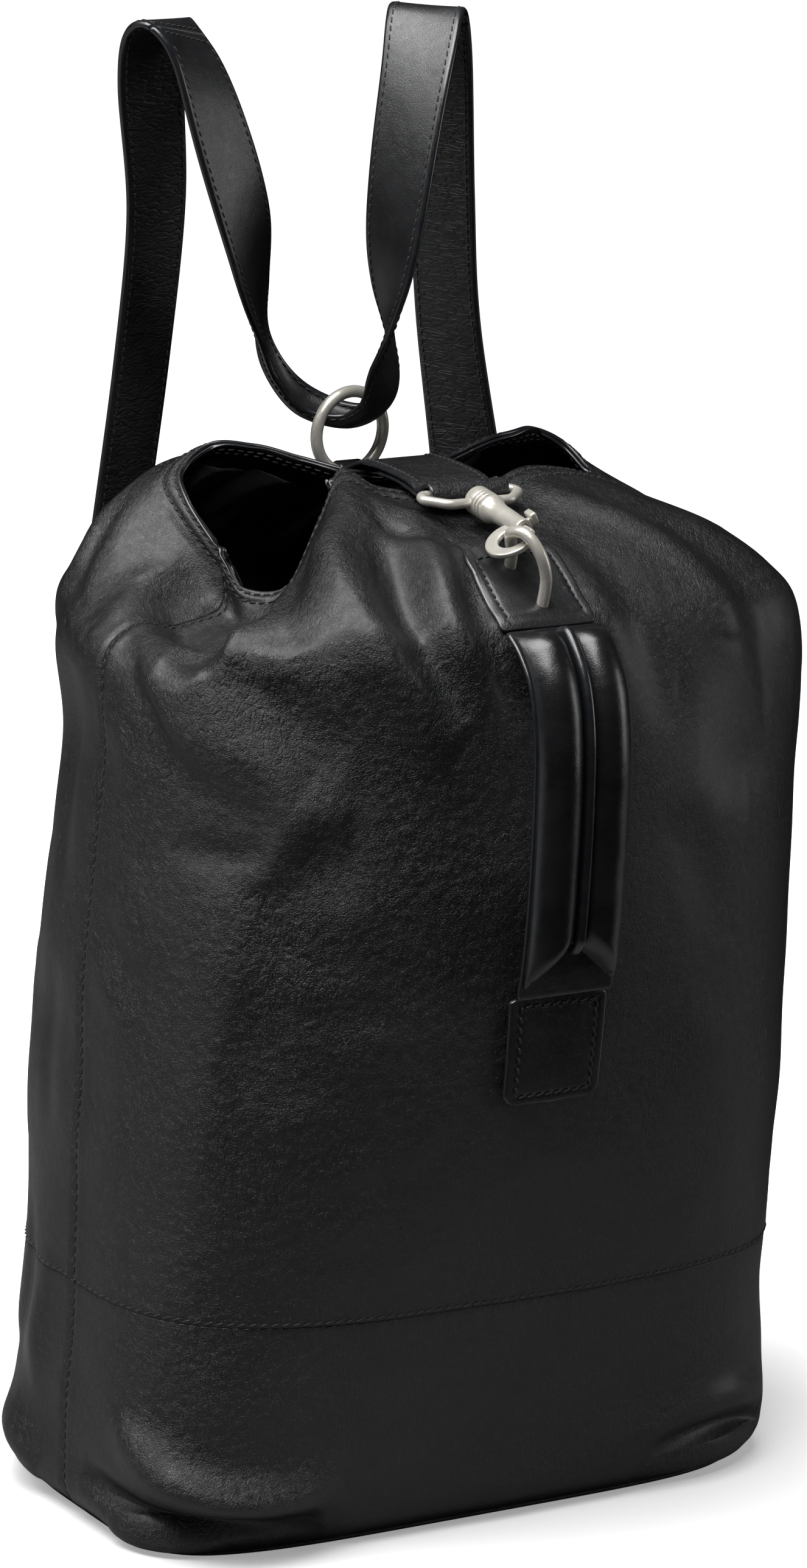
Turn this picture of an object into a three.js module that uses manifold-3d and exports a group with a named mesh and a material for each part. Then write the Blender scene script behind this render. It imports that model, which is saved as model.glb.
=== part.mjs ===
// Soft leather bucket backpack with a snap closure, an upright grab handle and one long
// shoulder strap threaded through a ring. Millimetres, +Z up, the grab handle on the -Y side and
// the shoulder strap on the +Y side. The origin is the centre of the base, on the floor.
import * as THREE from 'three';
import { mergeVertices } from 'three/addons/utils/BufferGeometryUtils.js';
import Module from 'manifold-3d';

const wasm = await Module();
wasm.setup();

// ---------------------------------------------------------------- driving dimensions
const GAP = 0.3; // clearance between neighbouring pieces
const LEATHER = 1.8; // thickness of a body panel
const LINING = 0.8; // thickness of the lining cloth
const FACING = 1.4; // thickness of the leather facing inside the mouth
const FACING_START = 8; // ring coordinate where the facing begins
const BAND_TOP = 3; // ring coordinate of the seam above the lower band
const BASE_THICK = 2.2;
const BOARD_THICK = 2.0;
const BOARD_INSET = 5;

const STRAP_WIDTH = 35;
const STRAP_THICK = 3.2;
const CLOSURE_WIDTH = 38;
const CLOSURE_PLY = 1.8;

const HANDLE_WIDTH = 45;
const HANDLE_BACK = 2.0; // backing strip thickness
const LOBE_WIDTH = 19.5;
const LOBE_THICK = 9.5;
const WELT_WIDTH = 4.4;
const PATCH_THICK = 2.2;
const WELT_HIGH = 6.5;
const LOBE_START = 0.03; // positions along the handle, from 0 at the top to 1 at the lower end
const LOBE_END = 0.9;
const WELT_END = 0.86;
const LOBE_TAPER = 0.1;
const PATCH_LOW = 415;
const PATCH_HIGH = 439;
const TAB_WIDTH = 46;
const TAB_LOW = 208;
const TAB_HIGH = 255;
const TAB_THICK = 3.0;

const RING_RADIUS = 18.4; // rear O-ring, to the wire's centre
const RING_WIRE = 2.75;
const RING_FOOT = [0, 67, 446]; // centre of the wire at the ring's lowest point
const RING_TURN = 0.1; // the ring is turned a little about the vertical
const LOOP_PLY = 1.6; // leather loop that holds the rear ring
const LOOP_WIDTH = 11;
const LOOP_SLACK = 1.3; // room between the ring's wire and the loop

const FRONT_WIRE = 2.7; // front ring wire radius
const PLATE_WIDTH = 14; // plate under the top patch that carries the front ring
const PLATE_LOW = 418;
const PLATE_HIGH = 437;
const PLATE_THICK = 1.0;
const WIRE_ROOM = 0.4; // clearance round the wire where it passes through the patch
const EYE_WIRE = 2.2;
const EYE_HALF_WIDTH = 24;
const EYE_DEPTH = 13;
const SNAP_ORIGIN = [0, -44, 456]; // centre of the snap eye's front bar
const SNAP_SLOPE = THREE.MathUtils.degToRad(7);
const HOOK_ROLL = THREE.MathUtils.degToRad(30);
const BARREL_END = 36;
const BOLT_RADIUS = 2.0;
const BOLT_START = 24.5;
const BOLT_TIP = 42.4;
const KNOB_START = 28.6; // thumb piece, along the barrel and out from its axis
const KNOB_END = 34.2;
const KNOB_LOW = 5.4;
const KNOB_HIGH = 8.4;
const KNOB_HALF_WIDTH = 2.6;
const STEM_HALF = 1.3; // half the width of the slot's opening, less its clearance
const STEM_START = 30.9;
const STEM_END = 32.9;
const SLOT_START = 24;
const SLOT_END = 34.5;
const SPRING_START = 12.3;

const ANCHOR_X = 104; // lower strap anchors
const ANCHOR_WIDTH = 44;
const ANCHOR_LOW = 14;
const ANCHOR_HIGH = 62;
const ANCHOR_THICK = 1.8;

// The body's cross-sections from the base to the mouth: half width, half depth, squareness,
// height, shift to the rear, pinch of the middle, rise of the two ears, rise of the rear edge.
const RINGS = [
  { a: 148, b: 80, n: 5.0, z: 2.5, cy: 0, pinch: 0, ears: 0, rear: 0 },
  { a: 156, b: 87, n: 4.5, z: 14, cy: 0, pinch: 0, ears: 0, rear: 0 },
  { a: 160, b: 96, n: 3.6, z: 55, cy: 0, pinch: 0, ears: 0, rear: 0 },
  { a: 163, b: 105, n: 3.0, z: 110, cy: 0, pinch: 0, ears: 0, rear: 0 },
  { a: 170, b: 122, n: 2.6, z: 200, cy: 0, pinch: 0, ears: 0, rear: 0 },
  { a: 174, b: 123, n: 2.4, z: 280, cy: 0, pinch: 0, ears: 0, rear: 0 },
  { a: 176, b: 115, n: 2.3, z: 345, cy: 0, pinch: 0, ears: 0, rear: 0 },
  { a: 163, b: 105, n: 2.2, z: 407, cy: 0, pinch: 0, ears: 0, rear: 0 },
  { a: 134, b: 72, n: 2.2, z: 436, cy: 1, pinch: 0.05, ears: 5, rear: 1 },
  { a: 97, b: 32, n: 2.2, z: 453.5, cy: 14, pinch: 0.5, ears: 12, rear: 2.5 },
];
const MOUTH = RINGS.length - 1;
const FRONT = -Math.PI / 2;
const REAR = Math.PI / 2;

// ---------------------------------------------------------------- materials
const leather = (shade, roughness) =>
  new THREE.MeshStandardMaterial({ color: shade, roughness, metalness: 0 });
const BODY = () => leather(0x17171a, 0.38);
const STRAP = () => leather(0x111214, 0.3);
const CLOTH = () => leather(0x0c0c0d, 0.9);
const NICKEL = () => new THREE.MeshStandardMaterial({ color: 0xb8b2a6, roughness: 0.32, metalness: 1 });

const bag = new THREE.Group();

function addNode(name, geometry, material, parent = bag) {
  const mesh = new THREE.Mesh(geometry, material);
  mesh.name = name;
  parent.add(mesh);
  return mesh;
}

// ---------------------------------------------------------------- mesh helpers
function solidFromRows(rows, closedAround) {
  // Rows of points joined into one skin. A row of one point closes an end.
  const positions = [];
  const starts = [];
  for (const row of rows) {
    starts.push(positions.length / 3);
    row.forEach((p) => positions.push(p.x, p.y, p.z));
  }
  const index = [];
  for (let r = 0; r + 1 < rows.length; r += 1) {
    const low = rows[r];
    const high = rows[r + 1];
    const count = Math.max(low.length, high.length);
    const steps = closedAround ? count : count - 1;
    for (let i = 0; i < steps; i += 1) {
      const j = (i + 1) % count;
      const a = starts[r] + (low.length === 1 ? 0 : i);
      const b = starts[r] + (low.length === 1 ? 0 : j);
      const c = starts[r + 1] + (high.length === 1 ? 0 : i);
      const d = starts[r + 1] + (high.length === 1 ? 0 : j);
      if (a !== b) index.push(a, b, d);
      if (c !== d) index.push(a, d, c);
    }
  }
  const geometry = new THREE.BufferGeometry();
  geometry.setAttribute('position', new THREE.Float32BufferAttribute(positions, 3));
  geometry.setIndex(index);
  return outward(geometry);
}

function signedVolume(geometry) {
  const p = geometry.getAttribute('position');
  const idx = geometry.getIndex();
  const a = new THREE.Vector3();
  const b = new THREE.Vector3();
  const c = new THREE.Vector3();
  let volume = 0;
  for (let i = 0; i < idx.count; i += 3) {
    a.fromBufferAttribute(p, idx.getX(i));
    b.fromBufferAttribute(p, idx.getX(i + 1));
    c.fromBufferAttribute(p, idx.getX(i + 2));
    volume += a.dot(b.cross(c)) / 6;
  }
  return volume;
}

function outward(geometry) {
  if (signedVolume(geometry) < 0) {
    const idx = geometry.getIndex().array;
    for (let i = 0; i < idx.length; i += 3) {
      const keep = idx[i];
      idx[i] = idx[i + 1];
      idx[i + 1] = keep;
    }
  }
  geometry.computeVertexNormals();
  return geometry;
}

function sweep(sections) {
  // Closed outlines, one after the other, with flat ends.
  const centre = (section) =>
    section.reduce((sum, p) => sum.add(p), new THREE.Vector3()).multiplyScalar(1 / section.length);
  const rows = [[centre(sections[0])], ...sections, [centre(sections[sections.length - 1])]];
  return solidFromRows(rows, true);
}

function toManifold(geometry) {
  const bare = geometry.clone();
  bare.deleteAttribute('normal');
  bare.deleteAttribute('uv');
  const merged = mergeVertices(bare, 1e-4);
  return new wasm.Manifold(
    new wasm.Mesh({
      numProp: 3,
      vertProperties: new Float32Array(merged.getAttribute('position').array),
      triVerts: new Uint32Array(merged.getIndex().array),
    }),
  );
}

function fromManifold(solid) {
  const mesh = solid.getMesh();
  const geometry = new THREE.BufferGeometry();
  geometry.setAttribute('position', new THREE.BufferAttribute(new Float32Array(mesh.vertProperties), 3));
  geometry.setIndex(new THREE.BufferAttribute(new Uint32Array(mesh.triVerts), 1));
  geometry.computeVertexNormals();
  return geometry;
}

function tube(points, radius, sides, steps) {
  const path = new THREE.CatmullRomCurve3(points.map((p) => new THREE.Vector3(...p)));
  const shape = new THREE.Shape();
  for (let i = 0; i < sides; i += 1) {
    const angle = (2 * Math.PI * i) / sides;
    const x = radius * Math.cos(angle);
    const y = radius * Math.sin(angle);
    if (i === 0) shape.moveTo(x, y);
    else shape.lineTo(x, y);
  }
  shape.closePath();
  return new THREE.ExtrudeGeometry(shape, { steps, extrudePath: path, bevelEnabled: false });
}

function rod(radius, start, end, sides = 20) {
  // A cylinder along local X.
  const geometry = new THREE.CylinderGeometry(radius, radius, end - start, sides);
  geometry.rotateZ(Math.PI / 2);
  geometry.translate((start + end) / 2, 0, 0);
  return geometry;
}

// ---------------------------------------------------------------- the body's surface
function ringPoint(ring, phi) {
  const c = Math.cos(phi);
  const s = Math.sin(phi);
  const n = ring.n;
  const r = (Math.abs(c / ring.a) ** n + Math.abs(s / ring.b) ** n) ** (-1 / n);
  const x = r * c;
  const waist = 1 - ring.pinch * Math.exp(-((x / 42) ** 4));
  const ears = ring.ears * Math.min(1, Math.abs(x) / ring.a) ** 2;
  return new THREE.Vector3(x, ring.cy + r * s * waist, ring.z + ears + ring.rear * s);
}

function surface(phi, v) {
  const i = Math.min(Math.floor(v), MOUTH - 1);
  const t = v - i;
  const pick = (k) => ringPoint(RINGS[Math.max(0, Math.min(MOUTH, k))], phi);
  const [p0, p1, p2, p3] = [pick(i - 1), pick(i), pick(i + 1), pick(i + 2)];
  const out = new THREE.Vector3();
  for (const axis of ['x', 'y', 'z']) {
    const slope1 = (p2[axis] - p0[axis]) / 2;
    const slope2 = (p3[axis] - p1[axis]) / 2;
    const a = 2 * t ** 3 - 3 * t ** 2 + 1;
    const b = t ** 3 - 2 * t ** 2 + t;
    const c = -2 * t ** 3 + 3 * t ** 2;
    const d = t ** 3 - t ** 2;
    out[axis] = a * p1[axis] + b * slope1 + c * p2[axis] + d * slope2;
  }
  return out;
}

function bodyPoint(phi, v, offset) {
  const h = 0.01;
  const along = surface(phi + h, v).sub(surface(phi - h, v));
  const up = surface(phi, Math.min(v + h, MOUTH)).sub(surface(phi, Math.max(v - h, 0)));
  const normal = along.cross(up).normalize();
  return surface(phi, v).addScaledVector(normal, offset);
}

function panel(phi0, phi1, v0, v1, outer, inner, across, up) {
  // A curved sheet between two offsets of the body's surface. The side edges stand back by
  // half a gap, and so do the seams between two rings of the body.
  const rows = [];
  const line = (v, offset, flip) => {
    const margin = GAP / 2 / 90;
    const row = [];
    for (let i = 0; i <= across; i += 1) {
      const phi = THREE.MathUtils.lerp(phi0 + margin, phi1 - margin, i / across);
      row.push(bodyPoint(phi, v, offset));
    }
    return flip ? row.reverse() : row;
  };
  for (let k = 0; k <= up; k += 1) {
    const v = THREE.MathUtils.lerp(v0, v1, k / up);
    rows.push([...line(v, outer, false), ...line(v, inner, true)]);
  }
  return stripSweep(rows, across + 1);
}

function stripSweep(sections, half) {
  // Sections are thin closed outlines: `half` points outside, then `half` points inside.
  const positions = [];
  const size = 2 * half;
  sections.forEach((s) => s.forEach((p) => positions.push(p.x, p.y, p.z)));
  const index = [];
  for (let k = 0; k + 1 < sections.length; k += 1) {
    for (let i = 0; i < size; i += 1) {
      const j = (i + 1) % size;
      const a = k * size + i;
      const b = k * size + j;
      if (i < half) index.push(a, b, b + size, a, b + size, a + size);
      else index.push(a, b, a + size, b, b + size, a + size);
    }
  }
  for (const [k, turn] of [[0, true], [sections.length - 1, false]]) {
    for (let i = 0; i + 1 < half; i += 1) {
      const a = k * size + i;
      const b = a + 1;
      const c = k * size + size - 2 - i;
      const d = c + 1;
      if (turn) index.push(a, c, b, a, d, c);
      else index.push(a, b, c, a, c, d);
    }
  }
  const geometry = new THREE.BufferGeometry();
  geometry.setAttribute('position', new THREE.Float32BufferAttribute(positions, 3));
  geometry.setIndex(index);
  return outward(geometry);
}

// ---------------------------------------------------------------- body panels
const AROUND_HALF = 22; // facets round half of the body
const BAND_ROWS = 5;
const PANEL_ROWS = 12;
const SEAM = 0.004; // ring coordinate left free on each side of the lower seam
const halves = [
  ['front', -Math.PI, 0],
  ['rear', 0, Math.PI],
];
for (const [side, phi0, phi1] of halves) {
  addNode(`lower_${side}_band`, panel(phi0, phi1, 0, BAND_TOP - SEAM, 0, -LEATHER, AROUND_HALF, BAND_ROWS), BODY());
  addNode(
    `${side}_panel`,
    panel(phi0, phi1, BAND_TOP + SEAM, MOUTH, 0, -LEATHER, AROUND_HALF, PANEL_ROWS),
    BODY(),
  );
  const inner = -LEATHER - GAP;
  addNode(
    `${side}_mouth_facing`,
    panel(phi0, phi1, FACING_START, MOUTH, inner, inner - FACING, AROUND_HALF, 2),
    BODY(),
  );
}

function slab(inset, z0, z1, count) {
  // A flat sheet with the outline of the base.
  const ring = RINGS[0];
  const outline = (z) => {
    const row = [];
    for (let i = 0; i < count; i += 1) {
      const p = ringPoint({ ...ring, a: ring.a - inset, b: ring.b - inset }, (2 * Math.PI * i) / count);
      row.push(new THREE.Vector3(p.x, p.y, z));
    }
    return row;
  };
  return sweep([outline(z0), outline(z1)]);
}

const BOARD_BOTTOM = BASE_THICK + GAP;
const BOARD_TOP = BOARD_BOTTOM + BOARD_THICK;
addNode('base_panel', slab(0, 0, BASE_THICK, 56), BODY());
addNode('base_board', slab(BOARD_INSET, BOARD_BOTTOM, BOARD_TOP, 56), CLOTH());

function liningBag() {
  // An open cup with a double wall and a flat floor, just inside the leather.
  const around = 2 * AROUND_HALF;
  const outerOffset = -LEATHER - 2 * GAP;
  const innerOffset = outerOffset - LINING;
  const floorZ = BOARD_TOP + GAP;
  const first = 0.4;
  const levels = [];
  for (let k = 1; k <= BAND_ROWS; k += 1) levels.push((BAND_TOP * k) / BAND_ROWS);
  const step = (MOUTH - BAND_TOP) / PANEL_ROWS;
  for (let v = BAND_TOP + step; v < FACING_START - step / 2; v += step) levels.push(v);
  levels.push(FACING_START - 0.03);
  const row = (v, offset, z) => {
    const points = [];
    for (let i = 0; i < around; i += 1) {
      const p = bodyPoint((2 * Math.PI * i) / around, v, offset);
      if (z !== undefined) p.z = z;
      points.push(p);
    }
    return points;
  };
  const floorInset = 3;
  const rows = [[new THREE.Vector3(0, 0, floorZ)], row(first, outerOffset - floorInset, floorZ)];
  levels.forEach((v) => rows.push(row(v, outerOffset)));
  [...levels].reverse().forEach((v) => rows.push(row(v, innerOffset)));
  rows.push(row(first, innerOffset - floorInset, floorZ + LINING));
  rows.push([new THREE.Vector3(0, 0, floorZ + LINING)]);
  return solidFromRows(rows, true);
}
addNode('lining', liningBag(), CLOTH());

// ---------------------------------------------------------------- pieces sewn on the front
function phiAt(x, v, centre) {
  // The angle where the body's surface at ring coordinate v crosses the given x.
  let low = centre - 1.25;
  let high = centre + 1.25;
  const rising = centre < 0;
  for (let k = 0; k < 30; k += 1) {
    const mid = (low + high) / 2;
    if (surface(mid, v).x < x === rising) low = mid;
    else high = mid;
  }
  return (low + high) / 2;
}

function levelAt(z, phi) {
  let low = 0;
  let high = MOUTH;
  for (let k = 0; k < 30; k += 1) {
    const mid = (low + high) / 2;
    if (surface(phi, mid).z < z) low = mid;
    else high = mid;
  }
  return (low + high) / 2;
}

function sewnPiece(width, zLow, zHigh, inner, outer, side = FRONT, middle = 0, up = 6) {
  // A rectangle of sheet that follows the body's surface.
  const across = 6;
  const v0 = levelAt(zLow, side);
  const v1 = levelAt(zHigh, side);
  const sections = [];
  for (let k = 0; k <= up; k += 1) {
    const v = THREE.MathUtils.lerp(v0, v1, k / up);
    const phis = [];
    for (let i = 0; i <= across; i += 1) {
      phis.push(phiAt(middle + width * (i / across - 0.5), v, side));
    }
    const outside = phis.map((phi) => bodyPoint(phi, v, outer));
    const inside = phis.map((phi) => bodyPoint(phi, v, inner)).reverse();
    sections.push([...outside, ...inside]);
  }
  return stripSweep(sections, across + 1);
}

// The front ring is a bent wire whose two ends go down through the patch.
const FRONT_RING_PATH = [
  [1, -95.2, 421.6],
  [0.5, -98, 434],
  [-3, -97.6, 445],
  [-7, -91.8, 452.6],
  [-9, -84.4, 452],
  [-6.9, -80.2, 447.5],
  [-4.6, -78.0, 441.5],
  [-3.5, -75.2, 434.2],
];
const frontRingWire = tube(FRONT_RING_PATH, FRONT_WIRE, 10, 26);
const plate = sewnPiece(PLATE_WIDTH, PLATE_LOW, PLATE_HIGH, GAP, GAP + PLATE_THICK);
addNode('front_ring', fromManifold(toManifold(frontRingWire).add(toManifold(plate))), NICKEL());

const patchInner = GAP + PLATE_THICK + GAP;
const patchSheet = toManifold(
  sewnPiece(HANDLE_WIDTH, PATCH_LOW, PATCH_HIGH, patchInner, patchInner + PATCH_THICK),
);
const lowerHolePath = [[1, -93.5, 416], ...FRONT_RING_PATH.slice(0, 2)];
const upperHolePath = [...FRONT_RING_PATH.slice(-2), [-3.2, -73.6, 429]];
const wireHoles = [lowerHolePath, upperHolePath].map((path) =>
  toManifold(tube(path, FRONT_WIRE + WIRE_ROOM, 12, 8)),
);
addNode(
  'handle_top_patch',
  fromManifold(patchSheet.subtract(wireHoles[0]).subtract(wireHoles[1])),
  STRAP(),
);

// ---------------------------------------------------------------- grab handle
// The line of the handle's back face in the middle plane, from the top patch to the lower tab.
const HANDLE_LINE = [
  [-106.5, 412.5],
  [-116, 406],
  [-126, 393],
  [-131.5, 372],
  [-133, 345],
  [-133, 318],
  [-132, 292],
  [-130, 272],
  [-127.4, 258],
];
function handleCurve() {
  return new THREE.CatmullRomCurve3(HANDLE_LINE.map(([y, z]) => new THREE.Vector3(0, y, z)));
}

function handleSweep(outline, t0, t1, steps) {
  // `outline(t)` lists points as [x, height above the back face].
  const curve = handleCurve();
  const sections = [];
  for (let k = 0; k <= steps; k += 1) {
    const t = THREE.MathUtils.lerp(t0, t1, k / steps);
    const p = curve.getPoint(t);
    const tangent = curve.getTangent(t);
    const out = new THREE.Vector3(0, tangent.z, -tangent.y).normalize();
    sections.push(outline(t).map(([x, h]) => new THREE.Vector3(x, 0, 0).addScaledVector(out, h).add(p)));
  }
  return sweep(sections);
}

const stripOutline = (x0, x1, h0, h1) => () => [
  [x0, h0],
  [x1, h0],
  [x1, h1],
  [x0, h1],
];
addNode(
  'handle_backing',
  handleSweep(stripOutline(-HANDLE_WIDTH / 2, HANDLE_WIDTH / 2, 0, HANDLE_BACK), 0, 1, 24),
  STRAP(),
);

function lobeOutline(side) {
  // A flat back and a rounded front; the lobe tapers to nothing near its two ends.
  const inner = WELT_WIDTH / 2 + GAP;
  const middle = inner + LOBE_WIDTH / 2;
  const count = 9;
  return (t) => {
    const fade = Math.min(1, (t - LOBE_START) / LOBE_TAPER, (LOBE_END - t) / LOBE_TAPER);
    const height = LOBE_THICK * (0.25 + 0.75 * Math.sin((Math.PI / 2) * Math.max(0, fade)));
    const points = [];
    for (let i = 0; i <= count; i += 1) {
      const angle = (Math.PI * i) / count;
      const bulge = Math.sin(angle) ** 0.7;
      points.push([side * (middle + (LOBE_WIDTH / 2) * Math.cos(angle)), HANDLE_BACK + GAP + height * bulge]);
    }
    return points;
  };
}
for (const [name, side] of [['left', -1], ['right', 1]]) {
  addNode(`handle_${name}_lobe`, handleSweep(lobeOutline(side), LOBE_START, LOBE_END, 18), STRAP());
}
addNode(
  'handle_welt',
  handleSweep(
    stripOutline(-WELT_WIDTH / 2, WELT_WIDTH / 2, HANDLE_BACK + GAP, HANDLE_BACK + GAP + WELT_HIGH),
    LOBE_START,
    WELT_END,
    20,
  ),
  STRAP(),
);
addNode(
  'handle_lower_tab',
  sewnPiece(TAB_WIDTH, TAB_LOW, TAB_HIGH, GAP, GAP + TAB_THICK),
  STRAP(),
);

// ---------------------------------------------------------------- rear ring and its loop
const ringGroup = new THREE.Group();
ringGroup.position.set(...RING_FOOT);
ringGroup.rotation.z = RING_TURN;
const torus = new THREE.TorusGeometry(RING_RADIUS, RING_WIRE, 10, 30);
torus.rotateX(Math.PI / 2);
torus.translate(0, 0, RING_RADIUS);
addNode('rear_o_ring', torus, NICKEL(), ringGroup);
bag.add(ringGroup);

function ribbonYZ(line, width, thick) {
  // A flat strip across X whose middle line lies in the YZ plane.
  const sections = line.map(([y, z], i) => {
    const before = line[Math.max(0, i - 1)];
    const after = line[Math.min(line.length - 1, i + 1)];
    const dy = after[0] - before[0];
    const dz = after[1] - before[1];
    const length = Math.hypot(dy, dz);
    const ny = -dz / length;
    const nz = dy / length;
    const corner = (x, h) => new THREE.Vector3(x, y + ny * h, z + nz * h);
    const w = width / 2;
    const h = thick / 2;
    return [corner(-w, -h), corner(w, -h), corner(w, h), corner(-w, h)];
  });
  return sweep(sections);
}

function arcYZ(centre, radius, from, to, count) {
  const points = [];
  for (let i = 0; i <= count; i += 1) {
    const angle = THREE.MathUtils.lerp(from, to, i / count);
    points.push([centre[0] + radius * Math.cos(angle), centre[1] + radius * Math.sin(angle)]);
  }
  return points;
}

const rearLine = (v, offset) => {
  const p = bodyPoint(REAR, v, offset);
  return [p.y, p.z];
};
const loopRadius = RING_WIRE + LOOP_SLACK + LOOP_PLY / 2;
const CLOSURE_CLEAR = 1.1; // the flat strap stands this far off the curved panel
const closureOffset = CLOSURE_CLEAR + CLOSURE_PLY / 2;
const tailOffset = closureOffset + CLOSURE_PLY / 2 + GAP + LOOP_PLY / 2;
addNode(
  'rear_ring_loop',
  ribbonYZ(
    [
      rearLine(7.45, tailOffset),
      rearLine(7.7, tailOffset),
      rearLine(7.95, tailOffset + 0.3),
      ...arcYZ([RING_FOOT[1], RING_FOOT[2]], loopRadius, -0.3, Math.PI * 0.9, 12),
    ],
    LOOP_WIDTH,
    LOOP_PLY,
  ),
  STRAP(),
);

// ---------------------------------------------------------------- closure strap
const eyeBar = [
  SNAP_ORIGIN[1] + EYE_DEPTH * Math.cos(SNAP_SLOPE),
  SNAP_ORIGIN[2] + EYE_DEPTH * Math.sin(SNAP_SLOPE),
];
const foldRadius = EYE_WIRE + 0.45 + CLOSURE_PLY / 2;
const foldTop = eyeBar[1] + foldRadius;
const underside = foldTop - CLOSURE_PLY;
addNode(
  'closure_strap',
  ribbonYZ(
    [
      ...[7.3, 7.7, 8.1, 8.4, 8.7, 8.9].map((v) => rearLine(v, closureOffset)),
      [27, 459.6],
      [18, 461.0],
      [0, foldTop],
      [-16, foldTop],
      ...arcYZ(eyeBar, foldRadius, Math.PI / 2, Math.PI * 1.5, 12),
      [eyeBar[0] + 6, eyeBar[1] - foldRadius + 0.6],
      [eyeBar[0] + 14, underside - 1.2],
      [-2, underside - 0.5],
      [10, underside - 0.6],
    ],
    CLOSURE_WIDTH,
    CLOSURE_PLY,
  ),
  STRAP(),
);

// ---------------------------------------------------------------- swivel snap
const snap = new THREE.Group();
snap.position.set(...SNAP_ORIGIN);
const forward = new THREE.Vector3(0, -Math.cos(SNAP_SLOPE), -Math.sin(SNAP_SLOPE));
const sideways = new THREE.Vector3(1, 0, 0);
const upward = new THREE.Vector3().crossVectors(forward, sideways);
snap.quaternion.setFromRotationMatrix(new THREE.Matrix4().makeBasis(forward, sideways, upward));
bag.add(snap);

// Local X runs along the barrel towards the hook, local Y across, local Z away from the bag.
const w = EYE_HALF_WIDTH;
const CORNER = 3; // the eye's rear corners are cut off by about this much
const eyeFrame = [
  [-EYE_DEPTH, -w + CORNER, 0],
  [-EYE_DEPTH + 2.5, -w, 0],
  [-4, -w, 0],
  [0, -w + 5, 0],
  [0, -4, 0],
];
function mirrored(points) {
  return points.map(([x, y, z]) => [x, -y, z]);
}
const WIRE_SIDES = 10;
function wirePath(points, radius) {
  // Straight wires joined at round corners.
  let solid = null;
  for (let i = 0; i + 1 < points.length; i += 1) {
    const a = new THREE.Vector3(...points[i]);
    const b = new THREE.Vector3(...points[i + 1]);
    const piece = new THREE.CylinderGeometry(radius, radius, a.distanceTo(b), WIRE_SIDES);
    piece.translate(0, a.distanceTo(b) / 2, 0);
    const direction = b.clone().sub(a).normalize();
    piece.applyQuaternion(new THREE.Quaternion().setFromUnitVectors(new THREE.Vector3(0, 1, 0), direction));
    piece.translate(a.x, a.y, a.z);
    const joint = new THREE.SphereGeometry(radius, WIRE_SIDES, 6);
    joint.translate(b.x, b.y, b.z);
    const both = toManifold(piece).add(toManifold(joint));
    solid = solid ? solid.add(both) : both;
  }
  return solid;
}
const BOSS_START = -3.6;
const BOSS_END = 2.6;
const boss = toManifold(rod(6.4, BOSS_START, BOSS_END, 24));
const stud = 2.0;
const studHole = toManifold(rod(stud + GAP, BOSS_START - 1, BOSS_END + 1, 20));
const rearBar = wirePath(
  [
    [-EYE_DEPTH, -w + CORNER, 0],
    [-EYE_DEPTH, w - CORNER, 0],
  ],
  EYE_WIRE,
);
const eye = wirePath(eyeFrame, EYE_WIRE)
  .add(wirePath(mirrored(eyeFrame), EYE_WIRE))
  .add(rearBar)
  .add(boss)
  .subtract(studHole);
addNode('snap_eye', fromManifold(eye), NICKEL(), snap);

const hookGroup = new THREE.Group();
hookGroup.rotation.x = HOOK_ROLL;
snap.add(hookGroup);

const BORE = BOLT_RADIUS + GAP;
const BORE_START = 12;
function barrelLathe() {
  // Head, stud, grooved collar, shoulder and barrel, as [distance along the axis, radius].
  const profile = [
    [BOSS_START - 2.0, 0],
    [BOSS_START - 2.0, 3.4],
    [BOSS_START - GAP, 3.4],
    [BOSS_START - GAP, stud],
    [BOSS_END + GAP, stud],
    [BOSS_END + GAP, 6.4],
    [4.4, 6.4],
    [4.7, 5.9],
    [5.1, 5.9],
    [5.4, 6.4],
    [7.0, 6.4],
    [7.3, 5.9],
    [7.7, 5.9],
    [8.0, 6.5],
    [10.4, 6.3],
    [13.6, 5.0],
    [17.0, 4.6],
    [BARREL_END, 4.1],
    [BARREL_END, 0],
  ].map(([along, radius]) => new THREE.Vector2(radius, along));
  const lathe = new THREE.LatheGeometry(profile, 24);
  lathe.rotateZ(-Math.PI / 2);
  return lathe;
}

// The crescent is a flat plate: outer circle, round opening and a gap closed by the bolt.
const HOOK_CENTRE = [37, -8];
const HOOK_RADIUS = 11.5;
const HOLE_RADIUS = 6.3;
const HOOK_THICK = 2.8;
function disc(centre, radius, thick, sides) {
  const geometry = new THREE.CylinderGeometry(radius, radius, thick, sides);
  geometry.rotateX(Math.PI / 2);
  geometry.translate(centre[0], centre[1], 0);
  return geometry;
}
function block(x0, x1, y0, y1, z0, z1) {
  const geometry = new THREE.BoxGeometry(x1 - x0, y1 - y0, z1 - z0);
  geometry.translate((x0 + x1) / 2, (y0 + y1) / 2, (z0 + z1) / 2);
  return geometry;
}
const crescent = toManifold(disc(HOOK_CENTRE, HOOK_RADIUS, HOOK_THICK, 40))
  .subtract(toManifold(disc([HOOK_CENTRE[0] + 0.6, HOOK_CENTRE[1] + 0.4], HOLE_RADIUS, HOOK_THICK + 2, 28)))
  .subtract(toManifold(block(BARREL_END + 0.2, BOLT_TIP + GAP, -4, 4, -4, 4)))
  .subtract(toManifold(block(20, 60, 2.4, 20, -4, 4)));
const bore = toManifold(rod(BORE, BORE_START, BARREL_END + 4, 18));
const slot = toManifold(block(SLOT_START, SLOT_END, 0, 9, -STEM_HALF - GAP, STEM_HALF + GAP));
const hookBody = toManifold(barrelLathe()).add(crescent).subtract(bore).subtract(slot);
addNode('snap_hook', fromManifold(hookBody), NICKEL(), hookGroup);

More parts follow.
